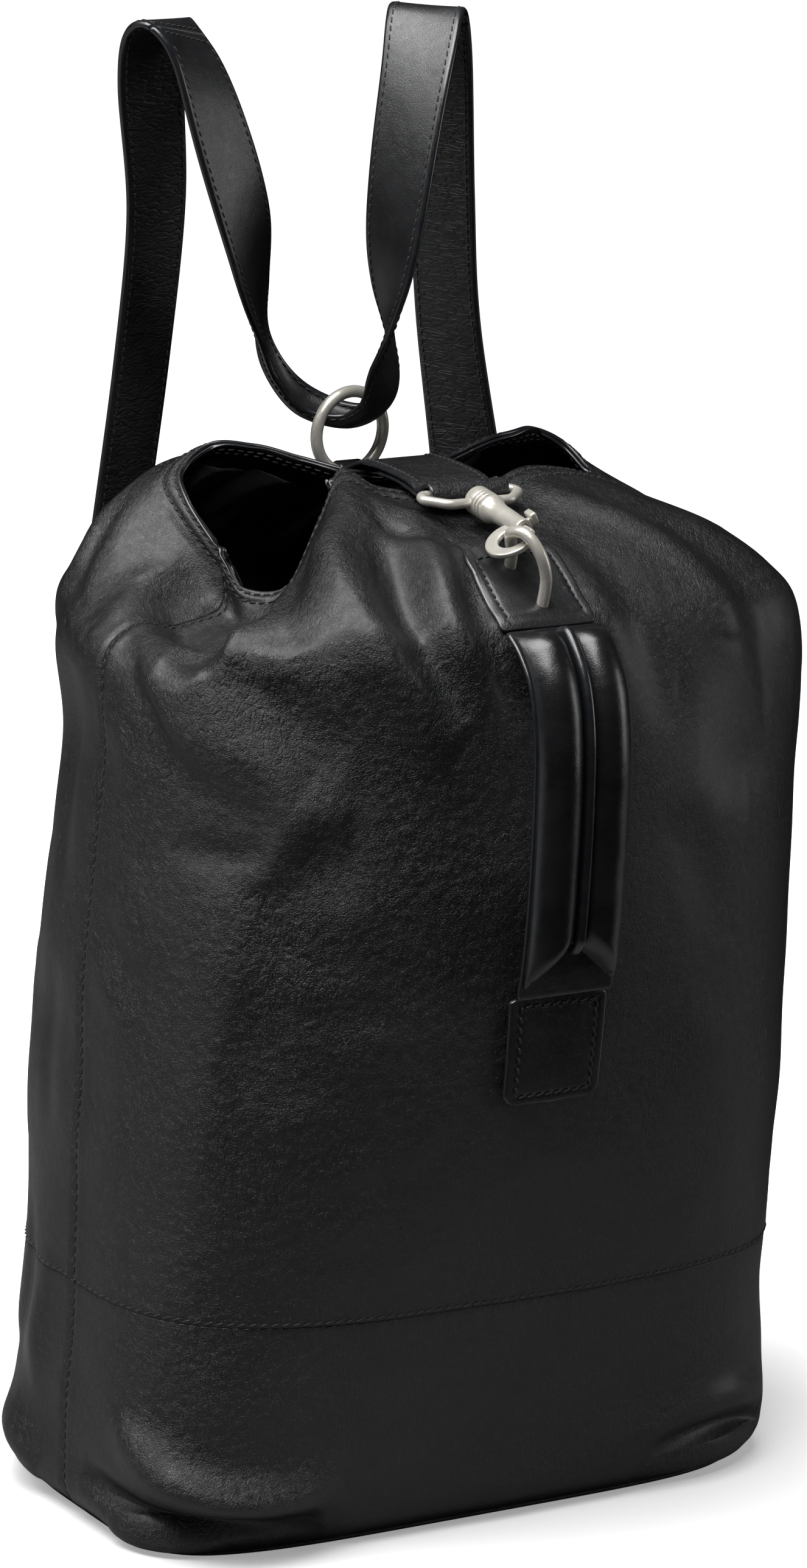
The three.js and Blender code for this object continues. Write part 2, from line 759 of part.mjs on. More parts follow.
const boltHole = toManifold(
  block(STEM_START - GAP, STEM_END + GAP, 0, 6, -STEM_HALF + GAP, STEM_HALF - GAP),
);
const bolt = toManifold(rod(BOLT_RADIUS, BOLT_START, BOLT_TIP, 16)).subtract(boltHole);
addNode('snap_bolt', fromManifold(bolt), NICKEL(), hookGroup);

// The knob: a thin stem pressed into the bolt and a rectangular thumb piece outside the barrel.
const stem = toManifold(
  block(STEM_START, STEM_END, GAP, KNOB_LOW + 1, -STEM_HALF + 2 * GAP, STEM_HALF - 2 * GAP),
);
const thumb = toManifold(
  block(KNOB_START, KNOB_END, KNOB_LOW, KNOB_HIGH, -KNOB_HALF_WIDTH, KNOB_HALF_WIDTH),
);
addNode('bolt_knob', fromManifold(stem.add(thumb)), NICKEL(), hookGroup);

// The spring is a plain sleeve behind the bolt, open at both ends.
const sleeve = toManifold(rod(BOLT_RADIUS - 0.1, SPRING_START, BOLT_START - GAP, 14)).subtract(
  toManifold(rod(BOLT_RADIUS - 0.8, BORE_START - 1, BOLT_START + 1, 14)),
);
addNode('bolt_spring', fromManifold(sleeve), NICKEL(), hookGroup);

// ---------------------------------------------------------------- shoulder strap
// Each entry: middle of the strap, direction of its width as an angle from +X towards +Y in
// degrees, and its width, which is smaller where the strap is bunched through the ring.
const STRAP_ROUTE = [
  { at: [-104, 91.6, 26], turn: 12, width: STRAP_WIDTH },
  { at: [-104, 96.4, 62], turn: 14, width: STRAP_WIDTH },
  { at: [-104, 101.6, 110], turn: 16, width: STRAP_WIDTH },
  { at: [-104, 112.8, 200], turn: 18, width: STRAP_WIDTH },
  { at: [-104, 112.4, 280], turn: 18, width: STRAP_WIDTH },
  { at: [-102, 109, 345], turn: 17, width: STRAP_WIDTH },
  { at: [-95, 105, 420], turn: 17, width: STRAP_WIDTH },
  { at: [-90, 98, 499], turn: 17, width: STRAP_WIDTH },
  { at: [-90, 88, 568], turn: 17, width: STRAP_WIDTH },
  { at: [-102, 75, 628], turn: 12, width: STRAP_WIDTH },
  { at: [-108, 62, 652], turn: 8, width: STRAP_WIDTH },
  { at: [-96, 50, 636], turn: 4, width: STRAP_WIDTH },
  { at: [-84, 42, 598], turn: 8, width: STRAP_WIDTH },
  { at: [-70, 42, 562], turn: 22, width: 34 },
  { at: [-50, 60, 528], turn: 50, width: 29 },
  { at: [-31, 75, 499], turn: 56, width: 20 },
  { at: [-16, 80, 479], turn: 52, width: 12.5 },
  { at: [-1, 67, 468.5], turn: 48, width: 11 },
  { at: [11, 54, 479], turn: 52, width: 13.5 },
  { at: [7, 42, 504], turn: 50, width: 24 },
  { at: [1, 33, 530], turn: 24, width: 32 },
  { at: [0, 30, 562], turn: 8, width: STRAP_WIDTH },
  { at: [4, 32, 598], turn: 4, width: STRAP_WIDTH },
  { at: [12, 40, 632], turn: 2, width: STRAP_WIDTH },
  { at: [24, 54, 652], turn: 0, width: STRAP_WIDTH },
  { at: [38, 68, 626], turn: 2, width: STRAP_WIDTH },
  { at: [54, 85, 562], turn: 4, width: STRAP_WIDTH },
  { at: [68, 96, 508], turn: 4, width: STRAP_WIDTH },
  { at: [88, 105, 425], turn: -4, width: STRAP_WIDTH },
  { at: [102, 109, 345], turn: -15, width: STRAP_WIDTH },
  { at: [104, 112.4, 280], turn: -18, width: STRAP_WIDTH },
  { at: [104, 112.8, 200], turn: -18, width: STRAP_WIDTH },
  { at: [104, 101.6, 110], turn: -16, width: STRAP_WIDTH },
  { at: [104, 96.4, 62], turn: -14, width: STRAP_WIDTH },
  { at: [104, 91.6, 26], turn: -12, width: STRAP_WIDTH },
];

function strapFrame(s) {
  // Middle point, width direction, surface normal and width at route coordinate s.
  const last = STRAP_ROUTE.length - 1;
  const middle = (u) => {
    const c = Math.max(0, Math.min(last, u));
    const i = Math.min(Math.floor(c), last - 1);
    const t = c - i;
    const at = (k) => new THREE.Vector3(...STRAP_ROUTE[Math.max(0, Math.min(last, k))].at);
    const [p0, p1, p2, p3] = [at(i - 1), at(i), at(i + 1), at(i + 2)];
    const out = p1.clone().multiplyScalar(2);
    out.addScaledVector(p2.clone().sub(p0), t);
    out.addScaledVector(
      p0.clone().multiplyScalar(2).addScaledVector(p1, -5).addScaledVector(p2, 4).sub(p3),
      t * t,
    );
    out.addScaledVector(
      p1.clone().multiplyScalar(3).sub(p0).addScaledVector(p2, -3).add(p3),
      t ** 3,
    );
    return out.multiplyScalar(0.5);
  };
  const i = Math.min(Math.floor(s), last - 1);
  const t = s - i;
  const blend = (key) => THREE.MathUtils.lerp(STRAP_ROUTE[i][key], STRAP_ROUTE[i + 1][key], t);
  const point = middle(s);
  const tangent = middle(s + 0.02).sub(middle(s - 0.02)).normalize();
  const angle = THREE.MathUtils.degToRad(blend('turn'));
  const across = new THREE.Vector3(Math.cos(angle), Math.sin(angle), 0);
  across.addScaledVector(tangent, -across.dot(tangent)).normalize();
  const normal = new THREE.Vector3().crossVectors(across, tangent);
  return { point, across, normal, width: blend('width') };
}

function strapLength(s0, s1, steps) {
  const sections = [];
  for (let k = 0; k <= steps; k += 1) {
    const f = strapFrame(THREE.MathUtils.lerp(s0, s1, k / steps));
    const corner = (a, n) =>
      f.point.clone().addScaledVector(f.across, a * f.width).addScaledVector(f.normal, n * STRAP_THICK);
    sections.push([corner(-0.5, -0.5), corner(0.5, -0.5), corner(0.5, 0.5), corner(-0.5, 0.5)]);
  }
  return sweep(sections);
}
const SPLICE_LEFT = 10.5;
const SPLICE_RIGHT = 24.7;
const SPLICE_GAP = 0.012;
const END = STRAP_ROUTE.length - 1;
addNode('strap_left', strapLength(0, SPLICE_LEFT - SPLICE_GAP, 26), STRAP());
addNode('strap_middle', strapLength(SPLICE_LEFT + SPLICE_GAP, SPLICE_RIGHT - SPLICE_GAP, 44), STRAP());
addNode('strap_right', strapLength(SPLICE_RIGHT + SPLICE_GAP, END, 26), STRAP());

for (const [name, side] of [['left', -1], ['right', 1]]) {
  const anchor = sewnPiece(
    ANCHOR_WIDTH,
    ANCHOR_LOW,
    ANCHOR_HIGH,
    GAP,
    GAP + ANCHOR_THICK,
    REAR,
    side * ANCHOR_X,
    4,
  );
  addNode(`strap_anchor_${name}`, anchor, STRAP());
}

export default bag;
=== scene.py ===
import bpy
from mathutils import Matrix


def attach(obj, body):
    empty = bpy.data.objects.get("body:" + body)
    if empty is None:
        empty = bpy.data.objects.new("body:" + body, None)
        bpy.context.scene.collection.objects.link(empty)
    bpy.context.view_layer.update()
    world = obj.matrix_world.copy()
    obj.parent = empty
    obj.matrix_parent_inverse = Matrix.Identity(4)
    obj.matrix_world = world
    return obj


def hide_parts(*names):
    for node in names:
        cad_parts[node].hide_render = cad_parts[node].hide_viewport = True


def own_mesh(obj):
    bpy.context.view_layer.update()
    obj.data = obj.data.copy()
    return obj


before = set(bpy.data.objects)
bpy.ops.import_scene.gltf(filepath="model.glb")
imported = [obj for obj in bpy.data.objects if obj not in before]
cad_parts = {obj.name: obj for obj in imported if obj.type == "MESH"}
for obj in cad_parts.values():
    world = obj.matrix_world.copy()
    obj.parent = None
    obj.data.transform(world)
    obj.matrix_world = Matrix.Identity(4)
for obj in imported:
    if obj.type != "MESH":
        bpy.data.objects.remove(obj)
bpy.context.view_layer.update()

import math

import bmesh
import bpy
import numpy as np
from mathutils import Matrix, Vector

MM = 0.001  # the shapes below are written in millimetres

# ---------------------------------------------------------------- sizes
LEATHER = 1.8
LINING_OFFSET = 3.2
FACING_DEPTH = 30.0
STRAP_WIDTH = 35.0
STRAP_THICK = 3.4
CLOSURE_WIDTH = 38.0
CLOSURE_PLY = 1.9
HANDLE_WIDTH = 46.0
RING_RADIUS = 18.4
RING_WIRE = 2.75
RING_FOOT = (0.0, 67.0, 446.0)
RING_TURN = 0.1
FRONT_WIRE = 2.7
EYE_WIRE = 2.2
EYE_HALF_WIDTH = 24.0
EYE_DEPTH = 13.0
SNAP_ORIGIN = (0.0, -44.0, 456.0)
SNAP_SLOPE = math.radians(7)
HOOK_ROLL = math.radians(30)
BARREL_END = 36.0
BOLT_RADIUS = 2.0
BOLT_TIP = 42.4
STITCH_PITCH = 4.4
STITCH_LENGTH = 3.3
THREAD = 0.42

# ---------------------------------------------------------------- the body's surface
# Cross-sections from the base to the shoulder: half width, half depth, squareness, height and
# sideways shift.
LOWER_RINGS = [
    (158, 80, 4.8, 2.5, 1),
    (170, 90, 4.6, 16, 2),
    (169, 97, 3.8, 55, 1),
    (168, 105, 3.2, 110, 2),
    (170, 119, 2.7, 200, 4),
    (171, 122, 2.4, 280, 6),
    (170, 115, 2.3, 345, 11),
]
# Above the shoulder the leather is gathered, so each ring is a row of points at these angles.
GATHER_ANGLES = [
    -180, -169, -161, -153, -141, -123, -90, -58, -39, -25, -14, -5,
    2, 11, 21, 38, 60, 90, 117, 136, 148, 157, 165, 172,
]
GATHERED_RINGS = [
    [
        (-160, 2, 388), (-156, -30, 387), (-147, -50, 388), (-132, -66, 394),
        (-106, -84, 399), (-64, -98, 404), (0, -105, 407), (62, -100, 404),
        (112, -90, 402), (150, -70, 399), (172, -42, 395), (178, -16, 388),
        (177, 6, 384), (172, 34, 386), (158, 62, 392), (118, 92, 400),
        (60, 104, 405), (0, 108, 406), (-54, 104, 405), (-100, 96, 402),
        (-132, 82, 398), (-148, 62, 394), (-157, 42, 391), (-160, 22, 389),
    ],
    [
        (-146, 4, 403), (-140, -24, 402), (-134, -42, 404), (-124, -56, 410),
        (-100, -72, 417), (-58, -84, 422), (0, -90, 423), (56, -86, 423),
        (102, -76, 423), (140, -58, 420), (158, -34, 414), (163, -10, 406),
        (162, 10, 402), (160, 34, 405), (148, 58, 413), (108, 82, 421),
        (54, 92, 424), (0, 94, 424), (-48, 92, 424), (-92, 86, 424),
        (-124, 76, 420), (-142, 60, 414), (-149, 42, 408), (-149, 24, 404),
    ],
    [
        (-123, 4, 408), (-120, -20, 405), (-114, -38, 410), (-102, -47, 421),
        (-80, -52, 436), (-46, -62, 439), (0, -69, 436), (44, -64, 438),
        (80, -56, 440), (112, -44, 438), (132, -30, 433), (140, -12, 424),
        (140, 10, 418), (143, 34, 424), (132, 54, 434), (94, 70, 440),
        (44, 74, 438), (0, 73, 437), (-40, 74, 438), (-74, 74, 441),
        (-102, 72, 440), (-126, 66, 434), (-136, 50, 424), (-130, 28, 416),
    ],
    [
        (-98, 8, 407), (-98, -14, 403), (-93, -27, 410), (-81, -29, 430),
        (-62, -26, 452), (-36, -34, 450), (0, -42, 445), (34, -38, 448),
        (62, -32, 452), (86, -26, 450), (104, -18, 445), (112, -4, 436),
        (112, 16, 432), (118, 36, 440), (108, 50, 449), (74, 54, 455),
        (34, 50, 451), (0, 49, 447), (-30, 50, 450), (-56, 58, 454),
        (-78, 64, 456), (-102, 66, 453), (-118, 56, 444), (-112, 34, 428),
    ],
    [
        (-97, 15, 431), (-92, -4, 416), (-77, -15, 420), (-58, -8, 449),
        (-43, 6, 463), (-28, -3, 457), (0, -14, 452), (28, -10, 456),
        (52, -4, 460), (70, -3, 457), (86, 2, 451), (96, 10, 448),
        (100, 22, 450), (97, 36, 458), (84, 42, 465), (60, 33, 467),
        (28, 30, 459), (0, 30, 455), (-22, 27, 457), (-42, 41, 462.5),
        (-60, 51, 467), (-80, 56, 468), (-97, 50, 458), (-101, 36, 448),
    ],
]
RING_COUNT = len(LOWER_RINGS) + len(GATHERED_RINGS)
RIM = RING_COUNT - 1
BAND_TOP = 3.0
MOUTH_ROWS = (4.2, 11.5)  # how far below the rim its two rows of stitches run
# Distance up the leather at each ring, used to place folds.
UP_MM = [0, 16, 56, 111, 202, 282, 347, 394, 413, 437, 462, 492]
SHOULDER_RING = len(LOWER_RINGS) - 1
DENSE = 1440


def hermite(p0, p1, p2, p3, t):
    m1 = (p2 - p0) / 2
    m2 = (p3 - p1) / 2
    a = 2 * t**3 - 3 * t**2 + 1
    b = t**3 - 2 * t**2 + t
    c = -2 * t**3 + 3 * t**2
    d = t**3 - t**2
    return a * p1 + b * m1 + c * p2 + d * m2


def periodic_curve(angles, points, wanted):
    """A smooth closed curve through points at uneven angles, in degrees."""
    angles = np.asarray(angles, float)
    points = np.asarray(points, float)
    count = len(angles)
    step = np.roll(angles, -1) - angles
    step[-1] += 360
    before = np.roll(step, 1)
    slope = (np.roll(points, -1, 0) - points) / step[:, None]
    slope_before = np.roll(slope, 1, 0)
    tangent = (slope * before[:, None] + slope_before * step[:, None]) / (step + before)[:, None]
    w = (np.asarray(wanted) - angles[0]) % 360 + angles[0]
    i = np.clip(np.searchsorted(angles, w, side="right") - 1, 0, count - 1)
    j = (i + 1) % count
    h = step[i][:, None]
    t = ((w - angles[i]) / step[i])[:, None]
    a = 2 * t**3 - 3 * t**2 + 1
    b = t**3 - 2 * t**2 + t
    c = -2 * t**3 + 3 * t**2
    d = t**3 - t**2
    return a * points[i] + b * h * tangent[i] + c * points[j] + d * h * tangent[j]


def ring_table():
    degrees = np.arange(DENSE) * 360 / DENSE - 180
    phi = np.radians(degrees)
    rows = []
    for a, b, n, z, shift in LOWER_RINGS:
        r = (np.abs(np.cos(phi) / a) ** n + np.abs(np.sin(phi) / b) ** n) ** (-1 / n)
        rows.append(np.stack([shift + r * np.cos(phi), r * np.sin(phi), np.full_like(phi, z)], 1))
    for ring in GATHERED_RINGS:
        rows.append(periodic_curve(GATHER_ANGLES, ring, degrees))
    return np.array(rows)


RING_TABLE = ring_table()


def around_table():
    """Distance round the shoulder ring from the front centre, for each dense angle."""
    ring = RING_TABLE[SHOULDER_RING]
    length = np.linalg.norm(np.roll(ring, -1, 0) - ring, axis=1)
    total = np.concatenate([[0], np.cumsum(length)])
    front = np.interp(DENSE / 4, np.arange(DENSE + 1), total)
    return total - front


AROUND_MM = around_table()


def smooth_body(phi, ring):
    """Points of the body before it is creased. phi in radians, ring from 0 to RIM."""
    turn = (np.asarray(phi) + math.pi) / (2 * math.pi) * DENSE
    low = np.floor(turn).astype(int)
    part = (turn - low)[..., None]
    k = np.clip(np.floor(ring).astype(int), 0, RIM - 1)
    t = (ring - k)[..., None]

    def pick(index):
        index = np.clip(index, 0, RIM)
        near = RING_TABLE[index, low % DENSE]
        far = RING_TABLE[index, (low + 1) % DENSE]
        return near * (1 - part) + far * part

    return hermite(pick(k - 1), pick(k), pick(k + 1), pick(k + 2), t)


def leather_place(phi, ring):
    """Where a point lies on the flat leather: round from the front centre, and up, in mm."""
    turn = (np.asarray(phi) + math.pi) / (2 * math.pi) * DENSE
    turn = np.clip(turn, 0, DENSE)
    s = np.interp(turn, np.arange(DENSE + 1), AROUND_MM)
    t = np.interp(ring, np.arange(RING_COUNT), UP_MM)
    return s, t


# Folds and dents, drawn on the flat leather: points (round, up) in mm, height (a valley
# is negative), width, and how much sharper the fold is on its left side.
FOLDS = [
    # the pinched-in front left corner and the folds that run down from it
    ([(-158, 458), (-160, 432), (-157, 410), (-168, 400)], 4, 9, 0.2),
    ([(-196, 408), (-176, 409), (-160, 412)], -6, 11, 0),
    ([(-252, 446), (-226, 437), (-198, 431), (-172, 431), (-156, 438)], -10, 13, 0),
    ([(-172, 402), (-150, 392), (-128, 378), (-106, 360)], -5, 13, 0),
    ([(-146, 456), (-138, 430), (-124, 400)], -3.5, 12, 0),
    ([(-130, 460), (-115, 437), (-95, 415), (-80, 395), (-68, 376), (-58, 360)], 9, 13, 0.1),
    ([(-92, 455), (-80, 432), (-72, 412), (-64, 392), (-55, 368)], -9, 12, 0),
    ([(-59, 456), (-56, 430), (-52, 412), (-44, 396), (-34, 374)], 7, 12, 0),
    ([(-37, 428), (-37, 408), (-33, 390), (-24, 366)], -5, 11, 0),
    ([(-90, 464), (-72, 454), (-48, 449), (-14, 458)], -3, 5, 0),
    ([(-86, 474), (-60, 467), (-32, 464)], 2, 6, 0),
    ([(-226, 404), (-212, 398), (-198, 377), (-184, 358), (-160, 342)], -3, 7, 0.2),
    ([(-232, 376), (-216, 360), (-208, 336)], 2.5, 10, 0),
    # the wavy corner between the front and the left side
    ([(-192, 375), (-170, 365), (-147, 357), (-134, 347), (-130, 332), (-139, 316), (-144, 304)], 4.5, 12, 0.1),
    ([(-143, 306), (-148, 270), (-152, 225), (-155, 170)], 3.5, 17, 0.25),
    ([(-126, 348), (-115, 341), (-104, 340)], 2.5, 12, 0),
    ([(-122, 326), (-108, 320), (-94, 322)], -1, 14, 0),
    ([(-180, 320), (-152, 318), (-137, 323)], -3, 7, 0),
    ([(-216, 286), (-202, 266), (-184, 256)], -2.2, 6, 0.2),
    ([(-222, 268), (-207, 244), (-192, 236)], 1.8, 7, 0),
    # soft unevenness of the front
    ([(-120, 300), (-104, 294), (-88, 298)], 1.1, 8, 0),
    ([(-126, 272), (-108, 264), (-88, 268)], 1.2, 8, 0),
    ([(-118, 246), (-96, 238), (-74, 244)], 0.8, 8, 0),
    ([(-138, 212), (-118, 206), (-98, 216)], 1.2, 8, 0),
    ([(-128, 190), (-108, 182), (-83, 188), (-65, 192), (-52, 208), (-36, 224)], 1.0, 7, 0),
    ([(-120, 168), (-96, 158), (-70, 166)], 0.9, 8, 0),
    ([(-112, 140), (-84, 132), (-56, 140)], 1.0, 7, 0),
    ([(-20, 190), (10, 176), (44, 186)], 1.0, 12, 0),
    ([(60, 240), (84, 222), (110, 232)], 1.4, 14, 0),
    ([(52, 330), (70, 300), (82, 262)], -1.6, 14, 0),
    # the right shoulder
    ([(84, 474), (102, 455), (112, 434), (110, 412), (107, 388)], 4, 13, 0),
    ([(60, 460), (63, 436), (57, 410), (58, 386), (55, 360)], -2.5, 14, 0),
    ([(38, 446), (40, 426), (37, 402), (36, 374)], 1.6, 11, 0),
    ([(138, 440), (128, 414), (126, 390), (128, 360)], -3, 13, 0),
    ([(158, 446), (154, 420), (158, 392), (160, 366)], 2.2, 14, 0),
    ([(190, 432), (188, 408), (192, 380), (194, 350)], -2, 14, 0),
    ([(70, 352), (100, 342), (132, 350)], -1.0, 14, 0),
    # the slumped corners at the floor
    ([(-190, 62), (-168, 47), (-150, 38), (-130, 33), (-110, 34), (-92, 40)], 11.5, 10, 0),
    ([(-214, 30), (-186, 24), (-160, 18), (-134, 15), (-100, 15)], -13, 8.5, 0),
    ([(-196, 8), (-168, 4), (-140, 5)], 7, 7, 0),
    ([(-300, 36), (-276, 30), (-254, 16)], 6, 12, 0),
    ([(-344, 34), (-322, 26), (-300, 14)], 6, 14, 0),
    ([(-322, 14), (-290, 8), (-262, 4)], -4, 6, 0),
    ([(-250, 120), (-262, 84), (-258, 50)], 2.2, 8, 0),
    ([(-282, 140), (-276, 100), (-284, 60)], -2.2, 7, 0),
    ([(84, 34), (112, 43), (138, 42), (158, 38)], 5, 8, 0),
    ([(96, 22), (128, 25), (150, 22), (164, 19)], -10.5, 9, 0),
    ([(108, 8), (136, 7), (168, 6)], 2.5, 5, 0),
    ([(200, 52), (212, 32), (206, 12)], 8, 14, 0),
    ([(-30, 22), (10, 18), (60, 22)], 1.2, 10, 0),
    # the left side
    ([(-262, 384), (-268, 336), (-258, 284)], -3, 9, 0),
    ([(-284, 396), (-290, 350), (-282, 300)], 3, 10, 0),
    ([(-256, 250), (-264, 214), (-258, 176)], -2, 8, 0),
    ([(-300, 250), (-290, 210), (-296, 160)], 2.2, 11, 0),
]


def rear_folds():
    """The unseen rear: gathers below the mouth and a few slack dents, evenly mixed."""
    rng = np.random.default_rng(21)
    folds = []
    for i, middle in enumerate(range(232, 700, 26)):
        drift = rng.uniform(-14, 14)
        size = (1 if i % 2 else -1) * rng.uniform(2.4, 4.2)
        depth = rng.uniform(60, 110)
        line = [(middle, 474), (middle + drift * 0.4, 446), (middle + drift, 474 - depth)]
        folds.append((line, size, rng.uniform(8, 11), 0))
    for _ in range(26):
        x, y = rng.uniform(230, 700), rng.uniform(30, 360)
        run, rise = rng.uniform(15, 40), rng.uniform(-24, 24)
        line = [(x, y), (x + run, y + rise * 0.3), (x + 2 * run, y + rise)]
        folds.append((line, rng.uniform(-2.2, 2.2), rng.uniform(9, 18), 0))
    return folds


def small_creases():
    """Short shallow creases all over, mostly running down the leather."""
    rng = np.random.default_rng(5)
    folds = []
    for _ in range(330):
        x, y = rng.uniform(-475, 475), rng.uniform(20, 480) ** 1.0
        angle = rng.normal(1.45, 0.5)
        run = rng.uniform(6, 20)
        dx, dy = run * math.cos(angle), run * math.sin(angle)
        bow = rng.uniform(-2.5, 2.5)
        line = [(x - dx, y - dy), (x + bow, y), (x + dx, y + dy)]
        high = 0.3 + 0.5 * np.clip((y - 330) / 90, 0, 1)
        folds.append((line, rng.uniform(-1, 1) * high, rng.uniform(2.2, 4.0), 0))
    return folds


def add_fold(height, s, t, fold, shift):
    """Adds one fold to the table of heights, only where it reaches."""
    points, size, width, lean = fold
    points = np.array(points, float) + (shift, 0)
    reach = 3.2 * width * (1 + abs(lean))
    cols = np.where((s > points[:, 0].min() - reach) & (s < points[:, 0].max() + reach))[0]
    rows = np.where((t > points[:, 1].min() - reach) & (t < points[:, 1].max() + reach))[0]
    if len(cols) == 0 or len(rows) == 0:
        return
    part_s = s[None, cols[0] : cols[-1] + 1]
    part_t = t[rows[0] : rows[-1] + 1, None]
    line = catmull(points, 5) if len(points) > 2 else points
    best = np.full((part_t.size, part_s.size), 1e9)
    side = np.zeros_like(best)
    along = np.zeros_like(best)
    spans = len(line) - 1
    for i in range(spans):
        ax, ay = line[i]
        dx, dy = line[i + 1] - line[i]
        u = np.clip(((part_s - ax) * dx + (part_t - ay) * dy) / max(dx * dx + dy * dy, 1e-6), 0, 1)
        px = part_s - ax - u * dx
        py = part_t - ay - u * dy
        d = np.hypot(px, py)
        closer = d < best
        best = np.where(closer, d, best)
        side = np.where(closer, np.tanh((dx * py - dy * px) / math.hypot(dx, dy) / 2), side)
        along = np.where(closer, (i + u) / spans, along)
    taper = 0.12 + 0.88 * np.sin(math.pi * along) ** 0.7
    bulge = size * taper * np.exp(-((best / (width * (1 - lean * side))) ** 2))
    height[rows[0] : rows[-1] + 1, cols[0] : cols[-1] + 1] += bulge


def catmull(points, per_span):
    """A smooth open line through points."""
    points = np.asarray(points, float)
    padded = np.vstack([2 * points[0] - points[1], points, 2 * points[-1] - points[-2]])
    out = []
    for i in range(len(points) - 1):
        for t in np.arange(per_span) / per_span:
            out.append(hermite(padded[i], padded[i + 1], padded[i + 2], padded[i + 3], t))
    out.append(points[-1])
    return np.array(out)


def soft_waves(s, t):
    """Slow unevenness of soft leather, the same on every run. It joins up all round."""
    rng = np.random.default_rng(7)
    height = np.zeros((len(t), len(s)))
    for _ in range(30):
        turns = rng.integers(3, 22)
        rate = rng.uniform(-1, 1) * 2 * math.pi / 60
        phase = rng.uniform(0, 2 * math.pi)
        wave = np.sin(2 * math.pi * turns * s[None, :] / PERIMETER + rate * t[:, None] + phase)
        height += wave * 3.0 / (turns + 3)
    return height * 0.32 * np.clip(t / 40, 0, 1)[:, None]


def seam_relief(s, t):
    """The leather pulls in along its seams and puckers between the stitches."""
    height = np.zeros((len(t), len(s)))
    pucker = 0.1 * np.cos(2 * math.pi * t / 4.8)[:, None]
    for seam in (SIDE_SEAM_LEFT, SIDE_SEAM_RIGHT, SIDE_SEAM_LEFT + PERIMETER):
        d = s[None, :] - seam
        height += -0.9 * np.exp(-((d / 2.2) ** 2)) + (0.5 + pucker) * np.exp(-(((d - 5.5) / 3.0) ** 2))
    d = t[:, None] - UP_MM[3]
    pucker = 0.08 * np.cos(2 * math.pi * s / 4.8)[None, :]
    height += -0.35 * np.exp(-((d / 1.4) ** 2)) + (0.25 + pucker) * np.exp(-(((d - 4.5) / 2.6) ** 2))
    d = UP_MM[-1] - t[:, None]
    height += 0.5 * np.exp(-(((d - 7.9) / 2.6) ** 2))
    for row in MOUTH_ROWS:
        height -= 0.4 * np.exp(-(((d - row) / 1.4) ** 2))
    return height


PERIMETER = float(np.linalg.norm(np.roll(RING_TABLE[SHOULDER_RING], -1, 0) - RING_TABLE[SHOULDER_RING], axis=1).sum())
SIDE_SEAM_LEFT = float(AROUND_MM[0])
SIDE_SEAM_RIGHT = float(AROUND_MM[DENSE // 2])
PER_RING = 28


def creased_table():
    """Dense rows of points and normals of the body with all its folds."""
    ring = np.linspace(0, RIM, RIM * PER_RING + 1)
    phi = np.arange(DENSE) * 2 * math.pi / DENSE - math.pi
    p, r = np.meshgrid(phi, ring)
    base = smooth_body(p, r)

    def normals(grid):
        along = np.roll(grid, -1, 1) - np.roll(grid, 1, 1)
        up = np.gradient(grid, axis=0)
        n = np.cross(along, up)
        return n / np.maximum(np.linalg.norm(n, axis=-1, keepdims=True), 1e-9)

    s = AROUND_MM[:DENSE]
    t = np.interp(ring, np.arange(RING_COUNT), UP_MM)
    height = soft_waves(s, t) + seam_relief(s, t)
    for fold in FOLDS + rear_folds() + small_creases():
        for shift in (-PERIMETER, 0.0, PERIMETER):
            add_fold(height, s, t, fold, shift)
    height *= np.clip(t / 10, 0, 1)[:, None]
    points = base + normals(base) * height[..., None]
    return points, normals(points)


CREASED, CREASED_NORMAL = creased_table()


def body_point(phi, ring, offset=0.0):
    """Points and normals of the creased body, `offset` mm out of the leather."""
    turn = ((np.asarray(phi, float) + math.pi) / (2 * math.pi) * DENSE) % DENSE
    level = np.clip(np.asarray(ring, float), 0, RIM) * PER_RING
    low = np.floor(turn).astype(int) % DENSE
    high = (low + 1) % DENSE
    part = (turn - np.floor(turn))[..., None]
    row = np.clip(np.floor(level).astype(int), 0, RIM * PER_RING - 1)
    rise = (level - row)[..., None]

    def mixed(table):
        below = table[row, low] * (1 - part) + table[row, high] * part
        above = table[row + 1, low] * (1 - part) + table[row + 1, high] * part
        return below * (1 - rise) + above * rise

    normal = mixed(CREASED_NORMAL)
    normal = normal / np.maximum(np.linalg.norm(normal, axis=-1, keepdims=True), 1e-9)
    return mixed(CREASED) + normal * offset, normal
# ---------------------------------------------------------------- camera
CAMERA_AZIMUTH = math.radians(-32)
CAMERA_ELEVATION = math.radians(15)
CAMERA_ROLL = math.radians(2.5)
CAMERA_DISTANCE = 3000.0
CAMERA_AIM = (0.0, 0.0, 300.0)
CAMERA_MOVE = (-3.95, 17.8)  # of the frame's centre from the aim, across and up
LENS = 155.1
SENSOR = 36.0


